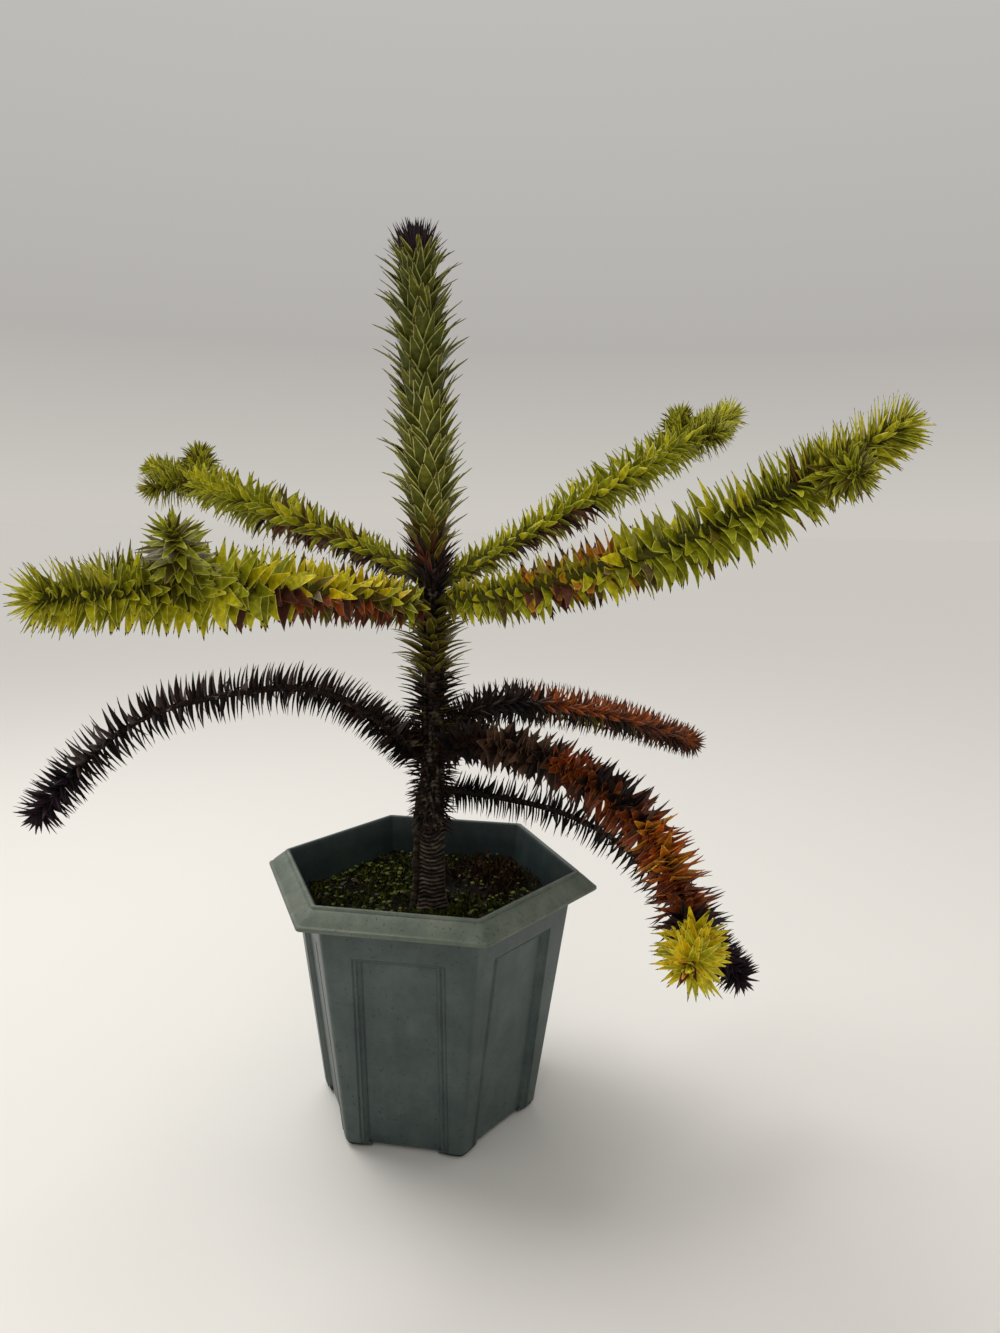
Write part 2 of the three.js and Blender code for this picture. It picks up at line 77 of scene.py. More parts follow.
# Arms: heading, climbs and veers along the length in degrees. A shoot has its share of the arm's length,
# turn from the arm's heading, climb and length, and only live arms have shoots.
ARMS = {
    "upper_left_front": dict(
        heading=242, height=699, length=521, climb=[11, 8, 1, -1],
        shoots=[(0.71, 58, 46, 84), (0.75, -52, 12, 66)]),
    "upper_left_back": dict(
        heading=159, height=735, length=537, climb=[22, 15, 15, 13],
        shoots=[(0.82, 52, -10, 68), (0.8, -55, 48, 66)]),
    "upper_right_back": dict(
        heading=39, height=726, length=560, climb=[27, 26, 27, 26],
        shoots=[(0.79, 58, 52, 62), (0.83, -50, 10, 54)]),
    "upper_right_front": dict(
        heading=336, height=709, length=598, climb=[4, 15, 20, 28, 33],
        shoots=[(0.85, -45, -4, 62), (0.79, 54, 34, 62)]),
    "lower_right_back": dict(
        heading=45, height=521, length=531, climb=[40, -7, -15, -19, -21], radius=8),
    "lower_right_front": dict(
        heading=319, height=513, length=565, climb=[20, 7, -5, -16, -46, 8],
        veer=[0, 0, 0, -3, -19, -66]),
    "lower_right_low": dict(
        heading=5, height=454, length=512, climb=[-4, -11, -35, -52, -50], radius=6.5),
    "lower_left": dict(
        heading=201, height=491, length=574, climb=[46, 35, -4, -14, -42, -55], radius=8),
}

# Leaf styles: each list runs from the limb's foot to its tip. density is leaves to the millimetre,
# spread the angle off the limb at the leaf's foot and bend how far the leaf turns towards the limb's
# tip along its length. Values that begin with under are for leaves on the limb's under side, margin is
# the width of the pale edge, comb draws the leaves together along the limb's top and bottom,
# lift draws them to its top, and twist turns the hanging ones flat to the side. jitter and roll are the
# shares of chance in each leaf's stance and in its turn about its own line.
GREEN_ARM = dict(
    density=[0.9, 1.0, 1.0, 0.95, 0.8, 0.85, 1.1, 1.6, 2.6], length=[20, 24, 28, 34, 40, 42, 39, 36, 30],
    width=[7, 10, 11, 12, 14, 14, 12, 8.5, 5.6], spread=[64, 76, 80, 80, 80, 80, 76, 66, 54],
    bend=[-4, -4, -6, -10, -16, -16, -12, -6, 0], under_length=[22, 28, 33, 38, 42, 43, 40, 36, 30],
    under_width=[8, 11, 12, 13, 15, 15, 12, 8.5, 5.6], under_spread=[60, 60, 60, 58, 56, 54, 54, 54, 52],
    under_bend=[-8, -14, -22, -30, -38, -36, -26, -14, -4], fold=0.24, crown=15, margin=0.8, comb=0.2,
    roll=0.28)
BACK_ARM = dict(
    GREEN_ARM, length=[18, 21, 24, 29, 37, 40, 37, 33, 28],
    under_length=[20, 24, 28, 35, 41, 41, 37, 33, 28],
    width=[7, 8.5, 9, 10, 11.5, 11.5, 10, 8, 5.6], under_width=[7, 9, 10, 11, 12, 12, 10, 8, 5.6],
    spread=[56, 62, 68, 74, 80, 80, 76, 66, 54], under_spread=[60, 60, 56, 52, 50, 50, 52, 54, 52],
    under_bend=[-8, -14, -26, -38, -46, -44, -30, -14, -4], lift=0.1, twist=0.5)
GREEN_SHOOT = dict(
    density=[1.1, 1.3, 1.8, 2.6, 3.6], length=[34, 34, 32, 29, 24], width=[10, 9, 7.5, 6.2, 4.8],
    spread=[76, 75, 73, 70, 60], bend=[-10, -10, -8, -6, 0], fold=0.24, crown=17, margin=0.6)
BROAD_SHOOT = dict(
    GREEN_SHOOT, density=[1.1, 1.2, 1.35, 1.7, 2.4], length=[38, 37, 35, 31, 26],
    width=[14, 13.5, 12, 9.5, 6.5], spread=[80, 78, 74, 68, 58])
DEAD_ARM = dict(
    density=[1.6, 0.95, 0.9, 1.05, 2.0], length=[30, 32, 32, 31, 29], width=[8, 9.5, 9.5, 9, 6.5],
    spread=[70, 80, 84, 82, 74], bend=[-4, -8, -10, -8, 0], under_width=[7, 8, 8, 8, 6.5],
    under_spread=[72, 80, 82, 80, 74], under_bend=[-8, -12, -12, -8, 0], fold=0.3, crown=14, margin=0.6,
    comb=0.3, jitter=0.6, roll=0.55)
RUST_ARM = dict(
    density=[1.3, 1.1, 1.0, 1.0, 1.05, 1.1, 1.25, 1.6, 2.4], length=[29, 31, 33, 34, 34, 35, 37, 39, 34],
    width=[9, 10.5, 12, 12, 12, 11.5, 10.5, 10, 8], spread=[66, 64, 60, 58, 62, 68, 74, 78, 72],
    under_length=[29, 32, 36, 40, 42, 42, 40, 40, 34],
    bend=[-4, -6, -6, -6, -8, -12, -12, -8, -2], under_spread=[64, 64, 62, 62, 64, 66, 70, 76, 72],
    fold=0.3, crown=20, margin=0.6)
STYLES = {
    "upper_left_front": dict(
        GREEN_ARM, width=[7, 10, 11, 12, 17, 17, 13, 9, 6], length=[24, 29, 32, 34, 43, 45, 40, 36, 30],
        under_length=[26, 32, 34, 35, 42, 44, 41, 36, 30], under_width=[8, 10, 11, 12, 18, 18, 14, 9, 6],
        lift=0.15, twist=0.7),
    "upper_left_back": dict(
        BACK_ARM, length=[18, 21, 24, 29, 37, 39, 34, 26, 20],
        under_length=[20, 24, 28, 35, 41, 40, 34, 26, 20]),
    "upper_right_back": BACK_ARM,
    "upper_right_front": dict(
        GREEN_ARM, width=[8, 11, 13, 15, 17, 17, 14, 8.5, 5.6],
        density=[0.9, 0.92, 0.85, 0.75, 0.66, 0.72, 1.0, 1.6, 2.6],
        under_length=[24, 35, 38, 40, 45, 48, 45, 38, 30],
        under_width=[8, 11, 13, 14, 16, 16, 13, 8.5, 5.6],
        under_spread=[58, 56, 52, 50, 48, 48, 50, 52, 52],
        under_bend=[-14, -22, -34, -44, -54, -52, -38, -18, -4],
        comb=0.3, lift=0.25, roll=0.16, twist=0.85),
    "lower_right_back": dict(
        DEAD_ARM, density=[1.6, 1.2, 1.2, 1.3, 2.2], length=[30, 34, 34, 32, 29], roll=0.35,
        width=[6.5, 7, 7, 6.5, 5.5], under_width=[6, 6.5, 6.5, 6, 5.5]),
    "lower_right_front": RUST_ARM,
    "lower_right_low": dict(
        DEAD_ARM, density=[1.2, 0.62, 0.62, 0.8, 2.4], length=[27, 30, 31, 31, 33],
        width=[6.5, 7.5, 7.5, 8, 8.5], under_width=[6, 6.5, 7, 8, 8.5], fold=0.4, roll=0.45),
    "lower_left": dict(
        DEAD_ARM, density=[2.3, 0.9, 0.72, 0.62, 0.66, 1.7], length=[33, 33, 34, 36, 37, 33],
        width=[6.5, 7.5, 7.5, 8, 8, 7], under_width=[6, 6.5, 6.5, 7, 7, 7], fold=0.45,
        spread=[76, 88, 94, 92, 88, 74], bend=[-4, -12, -16, -14, -8, 0]),
}

# Leaf tints by share of the arm, for leaves on the upper side and on the under side
TINTS = {
    "upper_left_front": [
        (0.10, "lime green olive", "green olive auburn"),
        (0.44, "yellow citron olive lime", "auburn auburn rust olive"),
        (0.58, "citron lime lime green", "green auburn green lime"),
        (1.00, "lime green green lime", "lime green lime"),
    ],
    "upper_left_back": [
        (0.14, "green olive green", "olive umber"),
        (0.52, "lime green green olive", "olive auburn umber auburn green"),
        (1.00, "lime green green", "green green"),
    ],
    "upper_right_back": [
        (0.20, "green green lime", "green olive"),
        (0.46, "lime green green", "auburn auburn umber green"),
        (1.00, "lime green green", "green green"),
    ],
    "upper_right_front": [
        (0.22, "lime citron green", "green olive lime"),
        (0.46, "lime citron toast scorch toast", "lime auburn toast scorch green"),
        (0.79, "lime green green", "green green olive green"),
        (0.835, "lime green auburn", "green lime"),
        (1.00, "lime green lime", "green lime"),
    ],
    "lower_right_back": [
        (0.29, "black umber umber", "black black"),
        (0.36, "umber rust auburn umber", "umber black umber"),
        (0.76, "rust auburn rust rust", "umber auburn umber olive"),
        (1.00, "auburn rust auburn", "auburn auburn umber"),
    ],
    "lower_right_front": [
        (0.18, "umber umber black", "umber black"),
        (0.40, "taupe taupe umber", "umber umber taupe"),
        (0.50, "ember ember rust ember", "umber auburn ember"),
        (0.63, "umber plum ember umber", "ember ember rust ember"),
        (0.67, "auburn umber rust", "auburn rust ember"),
        (0.79, "flame amber gold ember", "ember rust ember"),
        (0.855, "rust ember rust", "rust ember auburn"),
        (0.89, "plum auburn plum", "plum plum auburn"),
        (0.992, "yellow citron yellow lime", "citron yellow lime"),
        (1.00, "gold auburn citron", "gold auburn citron"),
    ],
    "lower_right_low": [
        (0.86, "black black plum", "black black"),
        (1.00, "plum plum black", "plum black"),
    ],
    "lower_left": [
        (0.50, "ash umber umber black", "black umber black"),
        (0.86, "ash ash umber black", "black black umber"),
        (1.00, "plum black plum", "black plum"),
    ],
    "trunk_skirt": [(0.70, "umber black umber", "umber black"), (1.00, "umber olive black", "umber black")],
    "trunk_middle": [
        (0.26, "umber black umber", "umber black"), (0.38, "olive umber moss", "olive umber"),
        (1.00, "moss olive moss", "moss olive"),
    ],
    "trunk_collar": [
        (0.60, "umber black plum", "umber black"), (1.00, "umber auburn olive", "umber olive"),
    ],
    "shoot": [(1.00, "green moss green", "green moss green")],
    "leader": [(0.08, "moss deep olive", "moss deep"), (0.50, "deep", "deep"), (1.00, "pine", "pine")],
    "crown_ring": [(1.00, "dusk dusk deep", "dusk dusk")],
    "crown": [(1.00, "plum umber plum", "plum plum")],
}

# Leaf tints by family, as seen by eye: red, green and blue out of 255 for the blades, then for the edge,
# the roughness, and another roughness for the edge where it differs
FAMILIES = {
    "deep": ([(98, 101, 33), (110, 110, 36), (84, 88, 29)], (196, 190, 112), 0.46, 0.45),
    "pine": ([(81, 85, 30), (90, 92, 30), (72, 78, 28)], (160, 156, 86), 0.46, 0.45),
    "moss": ([(78, 71, 17), (92, 83, 21)], (146, 136, 58), 0.45, 0.48),
    "green": ([(152, 153, 24), (128, 130, 21)], (194, 190, 74), 0.5),
    "lime": ([(184, 178, 26), (166, 162, 24), (200, 192, 32)], (214, 206, 92), 0.45, 0.48),
    "citron": ([(206, 190, 22), (186, 172, 18)], (220, 208, 80), 0.45, 0.48),
    "yellow": ([(216, 190, 18), (200, 170, 14)], (228, 208, 76), 0.48),
    "gold": ([(186, 128, 26), (162, 104, 24)], (202, 154, 58), 0.5),
    "olive": ([(102, 91, 22), (86, 70, 22)], (142, 128, 56), 0.5, 0.52),
    "auburn": ([(90, 47, 29), (70, 36, 25)], (118, 74, 48), 0.55),
    "rust": ([(152, 74, 27), (124, 57, 23)], (176, 104, 52), 0.55),
    "orange": ([(202, 108, 28), (178, 90, 24)], (212, 138, 56), 0.52),
    "amber": ([(212, 150, 36), (196, 126, 28)], (224, 176, 72), 0.5),
    "umber": ([(44, 28, 20), (34, 22, 17)], (62, 44, 33), 0.62),
    "taupe": ([(104, 75, 55), (84, 59, 43)], (122, 98, 78), 0.62),
    "ash": ([(88, 74, 72), (72, 60, 59)], (108, 94, 90), 0.6),
    "black": ([(25, 19, 18), (18, 15, 16)], (37, 29, 27), 0.6),
    "plum": ([(43, 27, 37), (31, 21, 30)], (58, 41, 50), 0.55),
}

# Leaves that change colour towards the point: tints of the foot, the middle and the outer part
FADES = {
    "scorch": ("lime", "olive", "umber"), "dusk": ("pine", "moss", "plum"),
    "ember": ("orange", "rust", "umber"), "flame": ("amber", "orange", "rust"),
    "rust": ("rust", "rust", "auburn"), "toast": ("citron", "gold", "auburn"),
}
# Tints whose leaves end in a brown spine. The others end in a dark one.
FRESH = ("deep", "pine", "moss", "green", "lime", "citron", "yellow", "olive")


def leaf_colours():
    colours = {"spine_brown": (62, 42, 24, 0.5), "spine_dark": (24, 18, 16, 0.55)}
    for family, (tints, edge, *rough) in FAMILIES.items():
        for letter, tint in zip("abc", tints):
            colours[f"{family}_{letter}"] = (*tint, rough[0])
        colours[family + "_edge"] = (*edge, rough[-1])
    return colours


COLOURS = leaf_colours()


# Small helpers
def along(values, t):
    return np.interp(np.asarray(t, float) * (len(values) - 1), np.arange(len(values)), values)


def unit(v):
    return v / np.maximum(np.linalg.norm(v, axis=-1, keepdims=True), 1e-9)


def smooth_step(x, low, high):
    t = np.clip((np.asarray(x, float) - low) / (high - low), 0, 1)
    return t * t * (3 - 2 * t)


# Equal turns round a circle
def circle(count):
    return np.linspace(0, TURN, count, endpoint=False)


# Direction at an angle from one unit direction towards another
def swing(start, end, angle):
    return np.cos(angle)[..., None] * start + np.sin(angle)[..., None] * end


# Colour as seen by eye to the shader's linear colour
def linear(rgb):
    c = np.array(rgb[:3]) / 255
    return tuple(np.where(c <= 0.04045, c / 12.92, ((c + 0.055) / 1.055) ** 2.4)) + (1.0,)


# Smooth seeded noise over two coordinates, about -1 to 1
class Waves:
    def __init__(self, seed, count, low, high):
        r = np.random.default_rng(seed)
        turn = r.uniform(0, TURN, count)
        rate = r.uniform(low, high, count)
        self.k = np.stack([np.cos(turn) * rate, np.sin(turn) * rate], 1)
        self.phase = r.uniform(0, TURN, count)

    def at(self, x, y):
        total = 0
        for (kx, ky), phase in zip(self.k, self.phase):
            total = total + np.sin(kx * x + ky * y + phase)
        return total / math.sqrt(len(self.phase) * 1.2)


def link(name, data):
    thing = bpy.data.objects.new(name, data)
    bpy.context.scene.collection.objects.link(thing)
    return thing


# Piece from corners, faces of any size and a material for each face. It may stand for some nodes.
def mesh_piece(name, corners, faces, paint, materials, nodes=(), sharp=None, flat=False):
    mesh = bpy.data.meshes.new(name)
    mesh.from_pydata(corners * MM, [], [face for group in faces for face in group.tolist()])
    mesh.polygons.foreach_set("material_index", np.asarray(paint, np.int32))
    mesh.polygons.foreach_set("use_smooth", np.full(len(mesh.polygons), not flat))
    if sharp is not None:
        ends = np.empty(len(mesh.edges) * 2, np.int32)
        mesh.edges.foreach_get("vertices", ends)
        mark = mesh.attributes.new("sharp_edge", "BOOLEAN", "EDGE")
        mark.data.foreach_set("value", sharp(ends.reshape(-1, 2)))
    mesh.validate()
    for material in materials:
        mesh.materials.append(material)
    piece = link(name, mesh)
    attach(piece, "root")
    if nodes:
        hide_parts(*nodes)
    return piece


# Faces between closed rings of corners, with a cap at each end. flip turns them over.
def skin(rows, sides, flip=False):
    i, j = np.meshgrid(np.arange(rows - 1), np.arange(sides), indexing="ij")
    a, b = i * sides + j, i * sides + (j + 1) % sides
    quads = np.stack([a, b, b + sides, a + sides], -1).reshape(-1, 4)
    ring = np.arange(sides)
    caps = np.array([ring[::-1], (rows - 1) * sides + ring])
    if flip:
        return [quads[:, [0, 3, 2, 1]], caps[:, ::-1]]
    return [quads, caps]


# Faces from a ring of corners to a point
def fan(start, sides, tip):
    k = np.arange(sides)
    return np.stack([start + k, start + (k + 1) % sides, np.full(sides, tip)], 1)


# Faces of one small thing, repeated for each of its copies
def repeat_faces(faces, copies, corners):
    shift = (np.arange(copies) * corners)[:, None, None]
    return [(f[None] + shift).reshape(-1, f.shape[1]) for f in faces]


def join_parts(parts):
    corners, groups, shift = [], [], 0
    for points, faces in parts:
        corners.append(points)
        groups.extend(f + shift for f in faces)
        shift += len(points)
    return np.concatenate(corners), groups


def face_count(faces):
    return sum(len(f) for f in faces)


# Node tree of a material or of the world
class Tree:
    def __init__(self, owner):
        owner.use_nodes = True
        self.nodes = owner.node_tree.nodes
        self.links = owner.node_tree.links
        self.place = self.nodes.new("ShaderNodeTexCoord").outputs

    # Output of a new node. Inputs that are sockets are linked, and plain values are set.
    def add(self, kind, output, inputs, **settings):
        node = self.nodes.new("ShaderNode" + kind)
        for key, value in settings.items():
            setattr(node, key, value)
        for key, value in inputs.items():
            if isinstance(value, bpy.types.NodeSocket):
                self.links.new(value, node.inputs[key])
            else:
                node.inputs[key].default_value = value
        return node.outputs[output]

    def stretch(self, scale):
        return self.add("Mapping", "Vector", {"Vector": self.place["Object"], "Scale": scale})

    def noise(self, scale, detail=2.0, roughness=0.5, place=None):
        place = self.place["Object"] if place is None else place
        return self.add("TexNoise", "Fac", {
            "Vector": place, "Scale": scale, "Detail": detail, "Roughness": roughness})

    def math(self, operation, *values):
        return self.add("Math", "Value", dict(enumerate(values)), operation=operation)

    # Colours along a factor, each with its place
    def ramp(self, factor, stops):
        colour = self.add("ValToRGB", "Color", {"Fac": factor})
        elements = colour.node.color_ramp.elements
        while len(elements) < len(stops):
            elements.new(0.5)
        for element, (place, rgb) in zip(elements, stops):
            element.position = place
            element.color = linear(rgb)
        return colour


# Material with a principled shader
class Finish(Tree):
    def __init__(self, name, rgb, roughness, shine=None):
        self.material = bpy.data.materials.new(name)
        super().__init__(self.material)
        self.shader = self.nodes["Principled BSDF"].inputs
        self.shader["Base Color"].default_value = linear(rgb)
        self.shader["Roughness"].default_value = roughness
        if shine is not None:
            self.shader["Specular IOR Level"].default_value = shine

    def colour(self, socket):
        self.links.new(socket, self.shader["Base Color"])

    def bump(self, height, strength, distance):
        inputs = {"Height": height, "Strength": strength, "Distance": distance}
        self.links.new(self.add("Bump", "Normal", inputs), self.shader["Normal"])


# Cloudy colour with a fine grain in its relief
def mottled_material(name, stops, roughness, scale, detail=6.0, bump=0.3, distance=0.001, fine=None,
                     shine=0.18):
    finish = Finish(name, stops[0][1], roughness, shine)
    finish.colour(finish.ramp(finish.noise(scale, detail, 0.62), stops))
    finish.bump(finish.noise(fine or scale * 8, 4.0), bump, distance)
    return finish.material


LEAF_MATERIALS = {}


def leaf_material(name):
    if name not in LEAF_MATERIALS:
        *rgb, roughness = COLOURS[name]
        tone = np.array(rgb, float)
        stops = [(0.36, tone * 0.82), (0.66, np.minimum(tone * 1.14, 255))]
        LEAF_MATERIALS[name] = mottled_material(
            "leaf_" + name, stops, roughness, 120.0, detail=3.0, bump=0.25, distance=0.0004, fine=900.0)
    return LEAF_MATERIALS[name]


# Moulded plastic with a bloom of dust and algae, fine pores and drip streaks
def weathered_plastic(name, dark, middle, pale, roughness):
    finish = Finish(name, middle, roughness)
    streak = finish.noise(60.0, 5.0, 0.6, finish.stretch((1.0, 1.0, 0.12)))
    bloom = finish.math("MULTIPLY_ADD", streak, 0.35, finish.noise(16.0, 8.0, 0.66))
    colour = finish.ramp(bloom, [(0.46, dark), (0.66, middle), (0.88, pale)])
    spots = finish.ramp(finish.noise(230.0), [(0.63, (255, 255, 255)), (0.72, (168, 170, 160))])
    inputs = {"Fac": 1.0, "Color1": colour, "Color2": spots}
    finish.colour(finish.add("MixRGB", "Color", inputs, blend_type="MULTIPLY"))
    finish.bump(finish.noise(700.0, 3.0), 0.18, 0.0006)
    return finish.material


# Bark: scale of its level bands, then their colours
BARKS = {
    "trunk_bark": (90.0, [(0.36, (16, 12, 9)), (0.5, (46, 37, 29)), (0.66, (100, 87, 72))]),
    "side_stem_bark": (120.0, [(0.3, (26, 20, 16)), (0.5, (52, 43, 34)), (0.72, (90, 78, 65))]),
    # The next two are darker and paler copies of the trunk bark: painted shade for the ring grooves and
    # painted highlight on the ring ridges
    "trunk_groove_painted_shade": (90.0, [(0.36, (11, 9, 7)), (0.5, (22, 18, 14)), (0.66, (38, 31, 25))]),
    "trunk_ridge_painted_highlight": (90.0, [(0.36, (40, 33, 27)), (0.5, (80, 69, 58)), (0.66, (128, 115, 100))]),
    "limb_bark_live": (110.0, [(0.3, (52, 50, 18)), (0.52, (80, 78, 24)), (0.74, (104, 100, 36))]),
    "limb_bark_dead": (110.0, [(0.3, (22, 18, 16)), (0.52, (44, 34, 28)), (0.74, (66, 52, 42))]),
}


def bark_material(name):
    scale, stops = BARKS[name]
    finish = Finish(name, stops[1][1], 0.88, 0.15)
    level = finish.stretch((0.35, 0.35, 2.4))
    finish.colour(finish.ramp(finish.noise(scale, 8.0, 0.7, level), stops))
    finish.bump(finish.noise(scale * 9, 6.0, 0.7, level), 0.6, 0.0012)
    return finish.material


# Line of a limb, by distance from its foot
class Limb:
    def __init__(self, points, side):
        self.points = np.asarray(points, float)
        step = np.linalg.norm(np.diff(self.points, axis=0), axis=1)
        self.place = np.concatenate([[0], np.cumsum(step)])
        self.length = self.place[-1]
        self.side = np.asarray(side, float)

    def at(self, s):
        return np.stack([np.interp(s, self.place, self.points[:, k]) for k in range(3)], -1)

    # Directions along the limb, square to it and across it
    def frame(self, s, near=4):
        s = np.asarray(s, float)
        ahead = unit(self.at(np.minimum(s + near, self.length)) - self.at(np.maximum(s - near, 0)))
        across = unit(self.side - (ahead @ self.side)[..., None] * ahead)
        return ahead, np.cross(across, ahead), across

    def share(self, s):
        return s / self.length


def trunk_centre(z):
    z = np.asarray(z, float)
    share = np.maximum(0, (z - LEAN_FROM) / (TRUNK_TOP - LEAN_FROM))
    shift = LEAN * share ** LEAN_POWER
    return np.stack([TRUNK_FOOT[0] + shift * math.cos(LEAN_HEADING),
                     TRUNK_FOOT[1] + shift * math.sin(LEAN_HEADING), z], -1)


def trunk_radius(z):
    share = np.maximum(0, (np.asarray(z, float) - TAPER_FROM) / (TRUNK_TOP - TAPER_FROM))
    return TRUNK_RADIUS + (TRUNK_TIP_RADIUS - TRUNK_RADIUS) * np.minimum(share, 1) ** TAPER_POWER


def trunk_limb(low, high, steps=80):
    return Limb(trunk_centre(np.linspace(low, high, steps)), (0, 1, 0))


# Points in equal steps from a foot, by the heading and the climb of each step
def walk(foot, heading, climb, length):
    moves = np.stack([np.cos(heading) * np.cos(climb), np.sin(heading) * np.cos(climb), np.sin(climb)], 1)
    return foot + np.concatenate([[np.zeros(3)], np.cumsum(moves, 0)]) * length / len(moves)


def arm_limb(arm, steps=160):
    root = math.radians(arm["heading"])
    out = np.array([math.cos(root), math.sin(root), 0])
    share = (np.arange(steps) + 0.5) / steps
    climb = np.radians(along(arm["climb"], share))
    heading = root + np.radians(along(arm.get("veer", [0, 0]), share))
    foot = trunk_centre(arm["height"]) + out * ARM_ROOT
    return Limb(walk(foot, heading, climb, arm["length"]), (-out[1], out[0], 0))


# A side shoot leaves its arm at an angle and turns back towards the arm's heading
def shoot_limb(arm, limb, shoot, steps=24):
    at, turn, climb, length = shoot
    share = np.arange(steps) / steps
    aim = math.radians(arm["heading"]) + math.radians(turn) * (1 - share * SHOOT_RETURN)
    climb = np.full(steps, math.radians(climb))
    points = walk(limb.at(at * limb.length), aim, climb, length)
    return Limb(points, (-math.sin(aim[0]), math.cos(aim[0]), 0))


# One leaf has rings of eight corners and a point: two margins, a keel below and a channel above
STATIONS = np.array([0, 0.1, 0.28, 0.5, 0.72, 0.9])
WIDTHS = np.array([0.74, 0.96, 1.0, 0.78, 0.43, 0.14])
RING_SIDE = np.array([-1, -1, 0, 1, 1, 1, 0, -1])
RING_MARGIN = np.array([0, 1, 0, 1, 0, 1, 0, 1])
RING_THICK = np.array([0, 0.3, 0.2, 0.3, 0, -0.35, -0.9, -0.35])
RINGS = len(STATIONS)
RING = len(RING_SIDE)
LEAF_TIP = RINGS * RING
LEAF_CORNERS = LEAF_TIP + 1
MARGIN_FACES = (0, 3, 4, 7)
EDGE_ZONE = 3
SPINE_ZONE = 5


# Colour zone of each face of a leaf: foot, middle and outer blade, the edges of both, and the spine
def leaf_zones():
    zone = np.repeat(np.arange(RINGS - 1) // 2, RING)
    margin = np.isin(np.tile(np.arange(RING), RINGS - 1), MARGIN_FACES)
    blade = np.where(margin, EDGE_ZONE + zone // 2, zone)
    return np.concatenate([blade, np.full(RING, SPINE_ZONE), [0]])


QUADS, CAPS = skin(RINGS, RING)
POINTS = fan(LEAF_TIP - RING, RING, LEAF_TIP)
ZONES = leaf_zones()


# Corners of many leaves. Each rib bends along an arc, and the blade is rolled about its rib.
def leaf_corners(foot, ahead, out, length, half, spread, bend, fold, thick, roll, lean, margin=0.7):
    side = np.cross(ahead, out)
    aim = unit(swing(ahead, out, spread) + lean[:, None] * side)
    up = swing(-out, ahead, spread)
    side = unit(side - np.sum(side * aim, 1, keepdims=True) * aim)
    up = np.cross(aim, side) * np.sign(np.sum(np.cross(aim, side) * up, 1, keepdims=True))
    bend = np.where(np.abs(bend) < 1e-3, 1e-3, bend)
    corners = np.empty((len(foot), LEAF_CORNERS, 3))

    def rib(t):
        turn = bend * t
        run = (length * np.sin(turn) / bend)[:, None] * aim
        rise = (length * (1 - np.cos(turn)) / bend)[:, None] * up
        return foot + run + rise, swing(up, -aim, turn)

    for j, t in enumerate(STATIONS):
        middle, normal = rib(t)
        w = half * WIDTHS[j]
        inner = 1 - RING_MARGIN * np.minimum(margin / w, 0.4)[:, None]
        x = w[:, None] * RING_SIDE * inner
        z = fold[:, None] * np.abs(x) + (thick * (1 - 0.7 * t))[:, None] * RING_THICK
        wide = swing(side, normal, roll)
        face = swing(normal, -side, roll)
        ring = middle[:, None] + x[..., None] * wide[:, None] + z[..., None] * face[:, None]
        corners[:, j * RING:(j + 1) * RING] = ring
    corners[:, -1] = rib(1.0)[0]
    return corners


# An edge is sharp where both its ends lie on the leaf's rim
def leaf_sharp(ends):
    corner = ends % LEAF_CORNERS
    rim = (corner == LEAF_TIP) | (corner % RING == 0) | (corner % RING == RING // 2)
    return rim.all(1)


# Leaves gathered for one piece
class Foliage:
    def __init__(self, name):
        self.name = name
        self.corners = []
        self.names = []
        self.slots = []

    def slot(self, name):
        if name not in self.names:
            self.names.append(name)
        return self.names.index(name)

    # Material slots of one leaf's colour zones
    def paint(self, kind):
        zones = []
        for family in FADES.get(kind, (kind, kind, kind)):
            tints = [n for n in COLOURS if n.startswith(family + "_") and not n.endswith("edge")]
            zones.append(tints[rng.integers(len(tints))])
        if kind not in FADES:
            zones[2] = zones[1]
        edges = [zone.split("_")[0] + "_edge" for zone in zones[1:]]
        spine = "spine_brown" if kind in FRESH else "spine_dark"
        return [self.slot(n) for n in (*zones, *edges, spine)]

    def add(self, corners, kinds):
        self.corners.append(corners)
        self.slots.extend(self.paint(kind) for kind in kinds)

    def build(self, slot, *nodes):
        corners = np.concatenate(self.corners)
        faces = repeat_faces((QUADS, POINTS, CAPS[:1]), len(corners), LEAF_CORNERS)
        parts = np.split(np.array(self.slots)[:, ZONES], [len(QUADS), len(QUADS) + len(POINTS)], axis=1)
        paint = np.concatenate([p.ravel() for p in parts])
        materials = [leaf_material(n) for n in self.names]
        mesh_piece(self.name, corners.reshape(-1, 3), faces, paint, materials, nodes, leaf_sharp)


# A tint for each leaf, dealt out by its share of the limb and by its side
def tint_kinds(table, share, upper):
    kinds = []
    for u, top in zip(share, upper):
        row = next(r for r in table if u <= r[0] or r is table[-1])
        choices = row[1 if top else 2].split()
        kinds.append(choices[rng.integers(len(choices))])
    return kinds


# Places along a limb for leaves of a density that changes with the share of its length
def leaf_places(limb, start, density, step=0.25):
    s = np.arange(start, limb.length, step)
    count = np.cumsum(along(density, limb.share(s))) * step
    return np.interp(np.arange(1, int(count[-1]) + 1), count, s)


